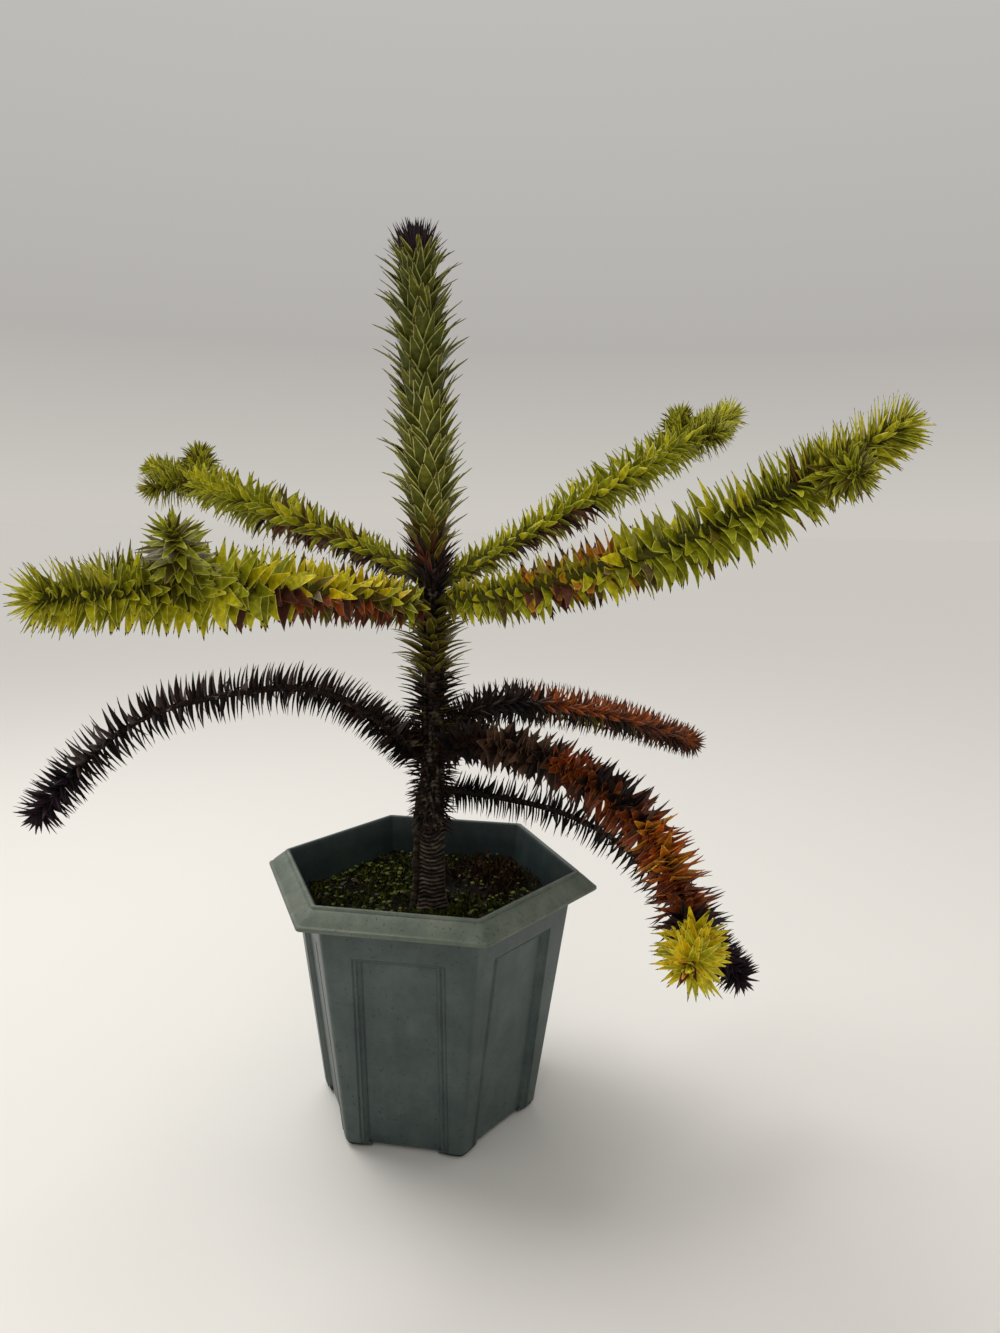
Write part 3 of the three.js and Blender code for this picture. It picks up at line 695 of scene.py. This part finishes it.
# Leaves in a golden spiral along a limb, closing over its tip in the last stretch
def grow(foliage, limb, start, style, table, radius_at):
    s = leaf_places(limb, start, style["density"])
    count = len(s)
    share = np.clip(limb.share(s), 0, 1)
    jitter = style.get("jitter", 1.0)
    turn = np.arange(count) * GOLDEN + rng.normal(0, 0.16 * jitter, count)
    turn = turn - style.get("comb", 0) * np.sin(2 * turn) - style.get("lift", 0) * np.sin(turn)
    ahead, normal, across = limb.frame(s)
    out = swing(normal, across, turn)
    under = smooth_step(-out[:, 2], -0.15, 0.75)
    closing = np.clip(1 - (limb.length - s) / style.get("crown", 0.01), 0, 1)

    def value(key, noise):
        upper = along(style[key], share)
        lower = along(style.get("under_" + key, style[key]), share)
        return upper + (lower - upper) * under, rng.normal(0, noise * jitter, count)

    length, vary = value("length", 0.08)
    length = length * (1 + vary) * (1 - 0.2 * closing ** 2)
    spread, vary = value("spread", 6)
    spread = np.radians(spread * (1 - 0.88 * closing ** 1.7) + vary)
    bend, vary = value("bend", 7)
    bend = np.radians(bend * (1 - closing) + vary)
    half, vary = value("width", 0.07)
    half = half / 2 * (1 + vary)
    seat = radius_at(s) * (1 - 0.7 * closing ** 1.5)
    foot = limb.at(s) + out * (seat - LEAF_SINK)[:, None]
    foot = foot - ahead * (0.3 * length * closing ** 2)[:, None]
    fold = np.maximum(0.04, style["fold"] + rng.normal(0, 0.07, count))
    twist = style.get("twist", 0) * under * np.sign(-np.sin(turn))
    corners = leaf_corners(
        foot, ahead, out, length, half, spread, bend, fold, half * 0.2 + 0.35,
        rng.normal(twist, style.get("roll", 0.12), count), rng.normal(0, 0.1 * jitter, count),
        style.get("margin", 0.7))
    foliage.add(corners, tint_kinds(table, share, out[:, 2] > UPPER_SIDE))


# Round tube along a limb with relief, closed at both ends
def tube(limb, s, radius, sides):
    ahead, normal, across = limb.frame(s)
    turn = circle(sides)
    out = swing(normal[:, None], across[:, None], turn)
    r = radius(s[:, None], turn[None, :])
    corners = (limb.at(s)[:, None] + out * r[..., None]).reshape(-1, 3)
    return corners, skin(len(s), sides)


# Pot: columns across half a flat and levels up the wall, close together at the beads
HALF_COLUMNS = [0, 14, 30, 42, 45.4, 46.4, 47.4, 48.6, 49.8, 50.8, 51.8, 52.8, 54, 55.8, 56.9, 58, 59.2, 61]
COLUMNS = np.array([-x for x in HALF_COLUMNS[:0:-1]] + HALF_COLUMNS, float)
WALL_LEVELS = [8.6, 24, 60, 120, 180, 240, 262, 268, 270.6, 272, 273.2, 274.4, 275.6, 276.8, 278,
               279, 280, 281.2, 283, 290, 306, 318, 323.5]
CORNER_STEPS = 5
WALL_ROUND = 9
INNER_ROUND = 6
FRAME_DEPTH = 2.3
PANEL_DEPTH = 3.7
STEP_WIDTH = 2.2
BEAD_HEIGHT = 2.3
BEAD_PLACE = 3.4
BEAD_WIDTH = 1.1
SPLIT_ANGLE = math.radians(38)


def wall_corner(z):
    return POT_BASE_CORNER + (POT_TOP_CORNER - POT_BASE_CORNER) * z / POT_HEIGHT


# Rim: distance to the corner, height and rounding, from under the lip to the top edge
RIM_PROFILE = [
    (203, 325.4, 6), (212, 325.2, 6), (LIP_CORNER - 4, 325, 6), (LIP_CORNER - 1.2, 325.4, 6),
    (LIP_CORNER, 326.8, 6), (LIP_CORNER, 329.4, 6), (LIP_CORNER - 1, 330.6, 6),
    (LIP_CORNER - 3.4, 331.2, 6), (LIP_CORNER - 4.8, 332.4, 7), (223.6, 335.4, 8), (219, 339.2, 9),
    (214.4, 342.8, 9), (210.6, 345.6, 8), (209, 346.4, 7), (208.2, 346, 6), (207.4, 346.4, 6),
    (206.8, 348.6, 6), (205.6, 349.8, 6), (204.2, 350, 6), (202.6, 350, 6),
]
INNER_LEVELS = [(200.9, 349.6), (199.4, 348), (198.6, 344)]
INNER_LEVELS += [(wall_corner(z) - 4.2, z) for z in (332, 318, 304, 286)]
INNER_LEVELS += [(wall_corner(z) - 16, z) for z in (280, 20)]
# Feet: height, reach along each flat from the corner, and how far the corner is drawn in
FOOT_LEVELS = [(9.4, 30, 4), (4.4, 30, 4.5), (4.2, 17, 2.5), (3, 14.5, 3.5), (1, 11, 6), (0, 8, 8)]
FOOT_ROUND = 8
# Dark, middle and pale colour of the plastic, and its roughness
POT_TONES = {
    "pot_body": ((43, 56, 55), (55, 69, 67), (70, 83, 78), 0.42),
    "pot_rim": ((66, 75, 65), (88, 96, 83), (106, 112, 96), 0.55),
    # The inside is the same plastic in darker tones: a painted shade for the shade inside the pot
    "pot_inner_painted_shade": ((20, 32, 33), (30, 44, 44), (48, 58, 52), 0.5),
}


def panel_depth(x, z):
    frame_in = np.minimum(FRAME_HALF - np.abs(x), FRAME_TOP - z)
    panel_in = np.minimum(PANEL_HALF - np.abs(x), PANEL_TOP - z)
    bead = np.exp(-((panel_in + BEAD_PLACE) / BEAD_WIDTH) ** 2) * (frame_in > 1.2)
    step = FRAME_DEPTH * smooth_step(frame_in, 0, STEP_WIDTH)
    return step + PANEL_DEPTH * smooth_step(panel_in, -0.8, STEP_WIDTH) - BEAD_HEIGHT * bead


def turned(x, y, z, turn):
    c, s = math.cos(turn), math.sin(turn)
    return np.stack([x * c - y * s, x * s + y * c, np.full(len(x), z)], 1)


# One level ring of the pot: six flats with the panels let in, and rounded corners
def pot_ring(corner, z, rounding, depth):
    apothem = corner * COS30
    reach = corner / 2 - rounding * math.tan(math.pi / 6)
    x = np.concatenate([[-reach], COLUMNS, [reach]])
    y = -apothem + depth * panel_depth(x, z) if depth else np.full(len(x), -apothem)
    angle = -math.pi / 2 + (math.pi / 3) * np.arange(1, CORNER_STEPS) / CORNER_STEPS
    x = np.concatenate([x, reach + rounding * np.cos(angle)])
    y = np.concatenate([y, -apothem + rounding + rounding * np.sin(angle)])
    return np.concatenate([turned(x, y, z, side * math.pi / 3) for side in range(6)])


# One foot under a corner: a kite whose outer corner is rounded
def pot_foot(turn):
    angle = np.linspace(-math.pi / 6, math.pi / 6, 5)
    bow = np.stack([FOOT_ROUND * (np.cos(angle) - 1 / COS30), FOOT_ROUND * np.sin(angle)], 1)
    rings = []
    for z, reach, inset in FOOT_LEVELS:
        ring = np.concatenate([
            [(-reach / 2, -reach * COS30)], bow,
            [(-reach / 2, reach * COS30), (-reach, reach * 0.45), (-reach, -reach * 0.45)]])
        rings.append(turned(ring[:, 0] + wall_corner(z) - inset, ring[:, 1], z, turn))
    return np.concatenate(rings), skin(len(rings), len(rings[0]), flip=True)


def pot_piece():
    base = wall_corner(FOOT_HEIGHT)
    rings = [pot_ring(base - 14, FOOT_HEIGHT + 0.2, WALL_ROUND, 0)]
    rings.append(pot_ring(base - 1.6, FOOT_HEIGHT, WALL_ROUND, 0.85))
    rings += [pot_ring(wall_corner(z), z, WALL_ROUND, 1) for z in WALL_LEVELS]
    rim_from = len(rings)
    rings += [pot_ring(corner, z, rounding, 0) for corner, z, rounding in RIM_PROFILE]
    inner_from = len(rings)
    rings += [pot_ring(corner, z, INNER_ROUND, 0) for corner, z in INNER_LEVELS]
    sides = len(rings[0])
    parts = [(np.concatenate(rings), skin(len(rings), sides))]
    row = np.repeat(np.arange(len(rings) - 1), sides)
    # Faces inside the pot take the darker plastic, a painted shade
    body, rim, inner = range(3)
    paint = [*np.where(row < rim_from - 1, body, np.where(row < inner_from - 1, rim, inner)), body, inner]
    for side in range(6):
        parts.append(pot_foot(side * math.pi / 3))
        paint += [body] * face_count(parts[-1][1])
    corners, faces = join_parts(parts)
    finishes = [weathered_plastic(name, *tones) for name, tones in POT_TONES.items()]
    piece = mesh_piece("pot_shell", corners, faces, paint, finishes, ["pot"])
    edges = piece.modifiers.new("edges", "EDGE_SPLIT")
    edges.split_angle = SPLIT_ANGLE


# Soil: level round the trunk and heaped up towards the wall, most of all at the back
SOIL_GAP = 6
SOIL_UNDER = 278
SOIL_TUCK = 0.955
SOIL_RINGS = 46
SOIL_SIDES = 180
TRUNK_CLEAR = 24
HEAP_FROM = 84
HEAP_TO = 165
HEAP_TURN = math.radians(75)
SOIL_WAVES = Waves(11, 18, 0.05, 0.22)
CRUMB_WAVES = Waves(12, 22, 0.35, 1.1)
EARTH = [(0.3, (5, 4, 2)), (0.52, (13, 9, 4)), (0.64, (20, 17, 5)), (0.8, (28, 23, 8))]


def from_trunk(x, y):
    return np.hypot(x - TRUNK_FOOT[0], y - TRUNK_FOOT[1])


def soil_surface(x, y):
    swell = 7 + 4 * np.cos(np.arctan2(y, x) - HEAP_TURN)
    bump = 3 * np.sin(x / 31) * np.cos(y / 27)
    heap = SOIL_LEVEL + smooth_step(from_trunk(x, y), HEAP_FROM, HEAP_TO) * (swell + bump)
    return heap + 2.6 * SOIL_WAVES.at(x, y) + 0.9 * CRUMB_WAVES.at(x, y)


# Inside of the hexagon, as a share of the way to its edge
def hexagon_share(x, y, apothem):
    turns = np.arange(6) * math.pi / 3 - math.pi / 2
    return np.max([x * math.cos(t) + y * math.sin(t) for t in turns], axis=0) / apothem


def soil_pieces():
    apothem = (wall_corner(SOIL_LEVEL) - SOIL_GAP) * COS30
    turn = circle(SOIL_SIDES)
    edge = apothem / hexagon_share(np.cos(turn), np.sin(turn), 1.0)
    share = np.linspace(0.03, 1, SOIL_RINGS)[:, None]
    x, y = share * edge * np.cos(turn), share * edge * np.sin(turn)
    top = np.stack([x, y, soil_surface(x, y)], -1)
    low = top[-1:] * SOIL_TUCK
    low[..., 2] = SOIL_UNDER
    corners = np.concatenate([top, low]).reshape(-1, 3)
    faces = skin(SOIL_RINGS + 1, SOIL_SIDES, flip=True)
    earth = mottled_material(
        "soil_earth", EARTH, 0.95, 70.0, bump=0.9, distance=0.003, fine=420.0, shine=0.1)
    mesh_piece("soil_bed", corners, faces, [0] * face_count(faces), [earth], ["soil"])
    moss_piece(apothem)
    seedling_piece(apothem)
    litter_piece(apothem)


# Chance places on the soil, clear of the trunk and between two shares of the way to the edge
def scatter(count, apothem, low=0.0, high=0.97):
    x, y = rng.uniform(-apothem * 1.15, apothem * 1.15, (2, count * 3))
    share = hexagon_share(x, y, apothem)
    keep = (share < high) & (share > low) & (from_trunk(x, y) > TRUNK_CLEAR)
    return x[keep][:count], y[keep][:count]


MOSS_TONES = {"green": (44, 49, 9), "lime": (68, 68, 13), "dark": (20, 23, 6),
              "dry": (52, 33, 15), "brown": (32, 20, 10)}
LIVE_TONES = 3
SPRIGS = 9500
DRY_PLACE = (70, 95)
SPRIG_CORNERS = 7
SPRIG_QUADS = skin(2, 3)[0]
SPRIG_ENDS = np.concatenate([fan(3, 3, 6), [(2, 1, 0)]])


# Moss: thin three-sided sprigs in cushions, green near the trunk and brown at the back right
def moss_piece(apothem):
    patch = Waves(21, 16, 0.02, 0.09)
    x, y = scatter(SPRIGS, apothem)
    keep = patch.at(x, y) > rng.uniform(-0.9, 0.7, len(x))
    x, y = x[keep], y[keep]
    count = len(x)
    far = np.hypot(x - DRY_PLACE[0], y - DRY_PLACE[1])
    dry = smooth_step(far, 95, 30) > rng.uniform(0.1, 0.9, count)
    height = rng.uniform(3, 8, count) * np.where(dry, 1.9, 1) * (1 + 0.4 * np.maximum(0, patch.at(x, y)))
    foot = np.stack([x, y, soil_surface(x, y) - 1.5], 1)
    turn = rng.uniform(0, TURN, count)
    tilt = rng.uniform(0.1, 1.0, count)
    tip = foot + (swing(X_AXIS, Y_AXIS, turn) * tilt[:, None] + Z_AXIS) * height[:, None]
    width = rng.uniform(0.7, 1.7, count)
    rings = []
    for climb, swell in ((0, 1), (0.55, 1.1)):
        for k in range(3):
            out = swing(X_AXIS, Y_AXIS, turn + k * TURN / 3)
            rings.append(foot + (tip - foot) * climb + out * width[:, None] * swell)
    corners = np.stack(rings + [tip], 1).reshape(-1, 3)
    faces = repeat_faces((SPRIG_QUADS, SPRIG_ENDS), count, SPRIG_CORNERS)
    brown = rng.integers(LIVE_TONES, len(MOSS_TONES), count)
    kind = np.where(dry, brown, rng.integers(0, LIVE_TONES, count))
    paint = np.concatenate([np.repeat(kind, len(SPRIG_QUADS)), np.repeat(kind, len(SPRIG_ENDS))])
    finishes = []
    for name, tone in MOSS_TONES.items():
        finish = Finish("moss_" + name, tone, 0.9, 0.1)
        finish.bump(finish.noise(1200.0), 0.4, 0.0005)
        finishes.append(finish.material)
    mesh_piece("moss_sprigs", corners, faces, paint, finishes, flat=True)


SEEDLING_TONES = {"light": ((62, 70, 16), (86, 92, 28)), "dark": ((36, 44, 12), (52, 60, 20)),
                  "stalk": ((40, 36, 16), (56, 48, 24))}
SEEDLINGS = 340
THIN_FROM = 20
DISH = 12
STALK_PAINT = 2
ASIDE = (0.3, 1.0, 0.1)


# A seedling's leaf: a shallow round dish about its middle
def dish(middle, up, r):
    a1 = unit(np.cross(up, ASIDE))
    a2 = np.cross(up, a1)
    edge = middle + r * swing(a1, a2, circle(DISH)) + up * r * 0.18
    corners = np.concatenate([edge, edge - up * 0.5, [middle], [middle - up * 0.6]])
    rim = skin(2, DISH)[0][:, ::-1]
    upper = fan(0, DISH, 2 * DISH)
    lower = fan(DISH, DISH, 2 * DISH + 1)[:, [1, 0, 2]]
    return corners, [rim, np.concatenate([upper, lower])]


# Seedlings: small round leaves on thin stalks. About half of those on the right are left out.
def seedling_piece(apothem):
    x, y = scatter(SEEDLINGS, apothem, 0.2, 0.93)
    keep = (x < THIN_FROM) | (rng.random(len(x)) < 0.5)
    parts, paint = [], []
    for px, py in zip(x[keep], y[keep]):
        ground = float(soil_surface(px, py))
        for _ in range(rng.integers(1, 3)):
            r = rng.uniform(1.6, 3.6)
            lift = rng.uniform(4, 11)
            middle = np.array([px + rng.normal(0, 6), py + rng.normal(0, 6), ground + lift])
            lean = rng.uniform(0, TURN)
            tilt = rng.uniform(0.1, 0.6)
            up = unit(np.array([math.cos(lean) * tilt, math.sin(lean) * tilt, 1.0]))
            parts.append(dish(middle, up, r))
            paint += [rng.integers(0, STALK_PAINT)] * face_count(parts[-1][1])
            stalk = Limb(np.linspace((px, py, ground - 2), middle - up * 0.3, 5), ASIDE)
            parts.append(tube(stalk, np.linspace(0, stalk.length, 4), lambda s, t: 0.5 + 0 * s * t, 5))
            paint += [STALK_PAINT] * face_count(parts[-1][1])
    corners, faces = join_parts(parts)
    finishes = [
        mottled_material("seedling_" + name, [(0.35, dark), (0.7, pale)], 0.7, 260.0, bump=0.2, shine=0.1)
        for name, (dark, pale) in SEEDLING_TONES.items()]
    mesh_piece("seedlings", corners, faces, paint, finishes)


FALLEN = 70
FALLEN_KINDS = ("umber", "taupe", "olive", "umber")


# Fallen leaves lying on the soil
def litter_piece(apothem):
    x, y = scatter(FALLEN, apothem, 0.1, 0.93)
    count = len(x)
    foot = np.stack([x, y, soil_surface(x, y) + 2.2], 1)
    turn = rng.uniform(0, TURN, count)
    out = swing(X_AXIS, Y_AXIS, turn) + rng.normal(0.05, 0.12, count)[:, None] * Z_AXIS
    up = np.tile(Z_AXIS, (count, 1))
    litter = Foliage("leaf_litter")
    length = rng.uniform(9, 20, count)
    spare = apothem * 0.97 - hexagon_share(x, y, 1.0)
    length = np.minimum(length, np.maximum(6, spare))
    corners = leaf_corners(
        foot, up, unit(out), length, rng.uniform(1.4, 3.2, count), np.full(count, math.pi / 2),
        rng.normal(-0.2, 0.3, count), np.full(count, 0.4), np.full(count, 0.5),
        rng.normal(0, 0.4, count), rng.normal(0, 0.1, count))
    litter.add(corners, [FALLEN_KINDS[k] for k in rng.integers(0, len(FALLEN_KINDS), count)])
    litter.build("brown_leaf")


# Trunk: ringed bark on a flared foot, bare up to the first leaves
RING_WAVES = Waves(31, 12, 0.5, 2.4)
CRACK_WAVES = Waves(32, 16, 1.0, 5.0)
RING_PITCH = 5.6
TRUNK_SIDES = 96
TRUNK_SUNK = 4
BARE_LENGTH = 122
BARE_STEP = 0.6
HIDDEN_STEP = 5
BARE_LOW = 400
BARE_HIGH = 425
FLARE = 6
FLARE_HEIGHT = 14
# Ring shares below which a trunk face takes the painted shade of the grooves, and above which it takes the
# painted highlight of the ridges
GROOVE_SHADE_BELOW = 0.4
CREST_HIGHLIGHT_ABOVE = 0.88
STEM_SIDES = 20
TRUNK_BARKS = ("trunk_bark", "side_stem_bark", "trunk_groove_painted_shade", "trunk_ridge_painted_highlight")
# A dead side stem along the trunk's left: places from the trunk's foot, and heights
SIDE_STEM = [(-26, -6, 282), (-22.5, -5, 306), (-20.5, -4, 340), (-21.5, -4, 358), (-20, -5, 384),
             (-21, -5, 412), (-18, -4, 440), (-11, -3, 470)]


# Leaf scars ring the bark: 0 in the groove between two rings, 1 on the ridge
def bark_ring(z, turn):
    wobble = RING_WAVES.at(2.2 * np.cos(turn) + z / 40, 2.2 * np.sin(turn))
    return np.abs(np.sin(math.pi * (z / RING_PITCH + 0.7 * wobble)))


def side_stem():
    stem = Limb([(TRUNK_FOOT[0] + x, TRUNK_FOOT[1] + y, z) for x, y, z in SIDE_STEM], (0, 1, 0))

    def radius(s, turn):
        knots = 2.6 * np.exp(-((s - 66) / 5) ** 2) + 1.2 * np.exp(-((s - 112) / 6) ** 2)
        return 4.3 + knots + 0.6 * np.sin(s / 2.1 + 2 * np.sin(turn)) + 0.5 * np.cos(3 * turn + s / 8)

    return tube(stem, np.linspace(0, stem.length, 120), radius, STEM_SIDES)


def trunk_piece():
    low = SOIL_LEVEL - TRUNK_SUNK
    limb = trunk_limb(low, TRUNK_TOP)
    fine = np.arange(0, BARE_LENGTH, BARE_STEP)
    s = np.concatenate([fine, np.arange(BARE_LENGTH, limb.length - 1, HIDDEN_STEP), [limb.length]])

    def radius(s, turn):
        z = low + s * (TRUNK_TOP - low) / limb.length
        flare = FLARE * np.exp(-(z - SOIL_LEVEL) / FLARE_HEIGHT)
        lobes = 1 + 0.35 * np.sin(3 * turn + 0.7) + 0.25 * np.sin(5 * turn + 2.1)
        ring = bark_ring(z, turn)
        crack = CRACK_WAVES.at(5 * np.cos(turn) + z / 9, 5 * np.sin(turn) - z / 13)
        bare = smooth_step(z, BARE_HIGH, BARE_LOW)
        relief = bare * (2.4 * ring ** 0.6 - 1.9 + 0.35 * crack) - (1 - bare) * 0.6
        return trunk_radius(z) + flare * lobes + relief

    parts = [tube(limb, s, radius, TRUNK_SIDES), side_stem()]
    turn = (np.arange(TRUNK_SIDES) + 0.5) * TURN / TRUNK_SIDES
    # Faces in the grooves between bark rings get the painted shade, and faces on the ring ridges get the
    # painted highlight
    ridge = bark_ring(low + (s[:-1, None] + s[1:, None]) / 2, turn[None, :])
    ridge = ridge + 0.16 * CRACK_WAVES.at(3 * np.cos(turn) + s[:-1, None] / 7, 3 * np.sin(turn))
    bark, side_bark, groove, crest = range(4)
    paint = np.where(ridge < GROOVE_SHADE_BELOW, groove, np.where(ridge > CREST_HIGHLIGHT_ABOVE, crest, bark))
    paint = [*paint.ravel(), bark, bark]
    paint += [side_bark] * face_count(parts[1][1])
    corners, faces = join_parts(parts)
    materials = [bark_material(name) for name in TRUNK_BARKS]
    mesh_piece("trunk_wood", corners, faces, paint, materials, ["trunk"])


# Limbs: wood that runs on inside the leaves to every tip, with leaf cushions in its relief
LIVE_SWELL = 2.4
DEAD_SHRINK = 2.2
LIMB_STEP = 3
LIMB_SIDES = 20
SHOOT_SIDES = 16
SHOOT_THICK = 0.85
SHOOT_TAPER = 0.3
LEAF_SLOTS = {
    "upper_left_front": "yellow_leaf", "lower_right_back": "rust_leaf", "lower_right_front": "orange_leaf",
    "lower_right_low": "black_leaf", "lower_left": "brown_leaf",
}


def wood_radius(arm):
    def radius(s):
        share = np.clip(s / arm["length"], 0, 1)
        swell = LIVE_SWELL if "shoots" in arm else -DEAD_SHRINK
        thick = arm.get("radius", ARM_RADIUS)
        return thick + (BOUGH_TIP_RADIUS - thick) * share + swell * smooth_step(s, 10, 40)
    return radius


def shoot_radius(arm, limb, shoot):
    thick = float(wood_radius(arm)(np.array(limb.length * 0.8))) * SHOOT_THICK
    return lambda s: thick * (1 - SHOOT_TAPER * s / shoot.length)


def limb_piece(name, arm, limb, shoots, material):
    base = wood_radius(arm)

    def places(line):
        return np.linspace(0, line.length - LIMB_STEP, int(line.length / LIMB_STEP))

    def relief(s, turn):
        spiral = np.sin(4 * turn + s * 0.42) * np.sin(5 * turn - s * 0.36)
        return base(s) + 0.9 * np.abs(spiral) - 0.4

    parts = [tube(limb, places(limb), relief, LIMB_SIDES)]
    for shoot in shoots:
        thin = shoot_radius(arm, limb, shoot)
        parts.append(tube(
            shoot, places(shoot), lambda s, t: thin(s) + 0.6 * np.abs(np.sin(4 * t + s * 0.42)),
            SHOOT_SIDES))
    corners, faces = join_parts(parts)
    paint = [0] * face_count(faces)
    mesh_piece("limb_" + name, corners, faces, paint, [material], ["bough_" + name])


def arm_pieces():
    live = bark_material("limb_bark_live")
    dead = bark_material("limb_bark_dead")
    for name, arm in ARMS.items():
        limb = arm_limb(arm)
        shoots = [shoot_limb(arm, limb, shoot) for shoot in arm.get("shoots", [])]
        limb_piece(name, arm, limb, shoots, live if shoots else dead)
        foliage = Foliage("foliage_" + name)
        start = float(trunk_radius(arm["height"])) + 2
        grow(foliage, limb, start, STYLES[name], TINTS[name], wood_radius(arm))
        shoot_style = BROAD_SHOOT if name == "upper_left_front" else GREEN_SHOOT
        for shoot in shoots:
            grow(foliage, shoot, 8, shoot_style, TINTS["shoot"], shoot_radius(arm, limb, shoot))
        slot = LEAF_SLOTS.get(name, "green_leaf")
        foliage.build(slot, "leaves_inner_" + name, "leaves_outer_" + name)


# Leaves round the trunk, from the dead skirt to the leader: from and to height, slot and style
TRUNK_LEAVES = [
    ("trunk_skirt", 398, 566, "skirt_husk", dict(
        density=[2.4, 2.6], length=[18, 22, 28], width=[4, 4.8, 5.8], spread=[104, 88, 76],
        bend=[-20, -8, 0], fold=0.5)),
    ("trunk_middle", 560, 694, "trunk_leaf", dict(
        density=[1.2, 1.2], length=[33, 39, 40], width=[9, 10.5, 11], spread=[62, 52, 48],
        bend=[-14, -30, -30], fold=0.24)),
    ("trunk_collar", 690, 774, "collar_husk", dict(
        density=[1.7, 1.7], length=[27, 32, 42], width=[5.5, 6.5, 8], spread=[68, 48, 38],
        bend=[4, 0, -4], fold=0.4)),
    ("leader", 764, 1110, "leader_leaf", dict(
        density=[0.86, 0.86, 0.86, 0.92, 1.1], length=[44, 52, 56, 55, 49], width=[14, 18.5, 20, 19, 14],
        spread=[36, 30, 25, 30, 38], bend=[-22, -22, -22, -22, -18], fold=0.16, margin=1.2)),
    ("crown_ring", 1106, 1130, "leader_leaf", dict(
        density=[1.3, 1.6], length=[42, 35], width=[10.5, 7], spread=[42, 38], bend=[-12, -8],
        fold=0.2, margin=1.0)),
    ("crown", 1120, 1152, "leader_leaf", dict(
        density=[2.2, 3.6], length=[45, 40, 31], width=[6, 5.4, 4.4], spread=[24, 28, 36],
        bend=[-4, -2, 0], fold=0.4, crown=26)),
]
# How far the old leaf feet stand out from the wood, on the leader and lower down
LEADER_STAND = 8
TRUNK_STAND = 3


def trunk_leaf_pieces():
    for name, low, high, slot, style in TRUNK_LEAVES:
        foliage = Foliage("foliage_" + name)
        top = name.startswith("crown")
        stand = LEADER_STAND if top or name == "leader" else TRUNK_STAND
        grow(foliage, trunk_limb(low, high), 0, style, TINTS[name],
             lambda s: trunk_radius(low + s) + stand * (1 if top else smooth_step(s, 0, 60)))
        nodes = [] if top else ["leader_leaves" if name == "leader" else name + "_leaves"]
        foliage.build(slot, *nodes)


# Studio: name, kind, place, size and power of each light, and the camera's place and turns
FLOOR_REACH = 40.0
LIGHTS = [
    ("sun", "SUN", (-1.2, 1.0, 2.6), 0.9, 1.25), ("key", "AREA", (-1.3, 0.4, 2.7), 1.5, 34),
    ("fill", "AREA", (0.4, -2.4, 2.0), 2.0, 15),
]
LIGHT_AIM = Vector((0, 0, 0.6))
CAMERA_PLACE = (0.2785, -1.2097, 0.8225)
CAMERA_YAW = math.radians(8.68)
CAMERA_PITCH = 0.1620
CAMERA_ROLL = 0.0178
CAMERA_LENS = 25.546
SKY = [(0.0, (215, 211, 204)), (0.16, (189, 186, 182)), (1.0, (222, 221, 219))]
SKY_STRENGTH = 0.896
SKY_DIMMING = 0.6


def floor():
    finish = Finish("floor_pale", (222, 219, 213), 0.9, 0.1)
    finish.bump(finish.noise(3.0, 3.0), 0.02, 0.002)
    r = FLOOR_REACH
    mesh = bpy.data.meshes.new("floor")
    mesh.from_pydata([(-r, -r, 0), (r, -r, 0), (r, r, 0), (-r, r, 0)], [], [(0, 1, 2, 3)])
    mesh.materials.append(finish.material)
    link("floor", mesh)


# Sky: an even horizon all round, and dimmer above it on the side that faces the plant's front
def sky():
    world = bpy.data.worlds.new("studio")
    tree = Tree(world)
    back = tree.nodes["Background"].inputs
    depth = tree.add("SeparateXYZ", "Y", {"Vector": tree.place["Generated"]})
    height = tree.add("SeparateXYZ", "Z", {"Vector": tree.place["Generated"]})
    tree.links.new(tree.ramp(height, SKY), back["Color"])
    rise = tree.add("MapRange", "Result", {"Value": height, "From Max": 0.3})
    front = tree.math("MULTIPLY", tree.math("MINIMUM", depth, 0.0), rise)
    strength = tree.math("MULTIPLY_ADD", front, SKY_DIMMING, SKY_STRENGTH)
    tree.links.new(strength, back["Strength"])
    bpy.context.scene.world = world


def lights():
    for name, kind, place, size, power in LIGHTS:
        data = bpy.data.lights.new(name, kind)
        if kind == "SUN":
            data.angle = size
        else:
            data.size = size
        data.energy = power
        light = link(name, data)
        light.location = place
        light.rotation_euler = (LIGHT_AIM - Vector(place)).to_track_quat("-Z", "Y").to_euler()


def camera():
    data = bpy.data.cameras.new("camera")
    data.sensor_width = 36
    data.lens = CAMERA_LENS
    data.clip_start = 0.05
    data.clip_end = 100
    eye = link("camera", data)
    yaw = Matrix.Rotation(CAMERA_YAW, 4, "Z")
    pitch = Matrix.Rotation(math.pi / 2 - CAMERA_PITCH, 4, "X")
    roll = Matrix.Rotation(CAMERA_ROLL, 4, "Z")
    eye.matrix_world = Matrix.Translation(CAMERA_PLACE) @ yaw @ pitch @ roll
    bpy.context.scene.camera = eye
    bpy.context.scene.view_settings.view_transform = "Standard"


floor()
sky()
lights()
camera()
pot_piece()
soil_pieces()
trunk_piece()
arm_pieces()
trunk_leaf_pieces()
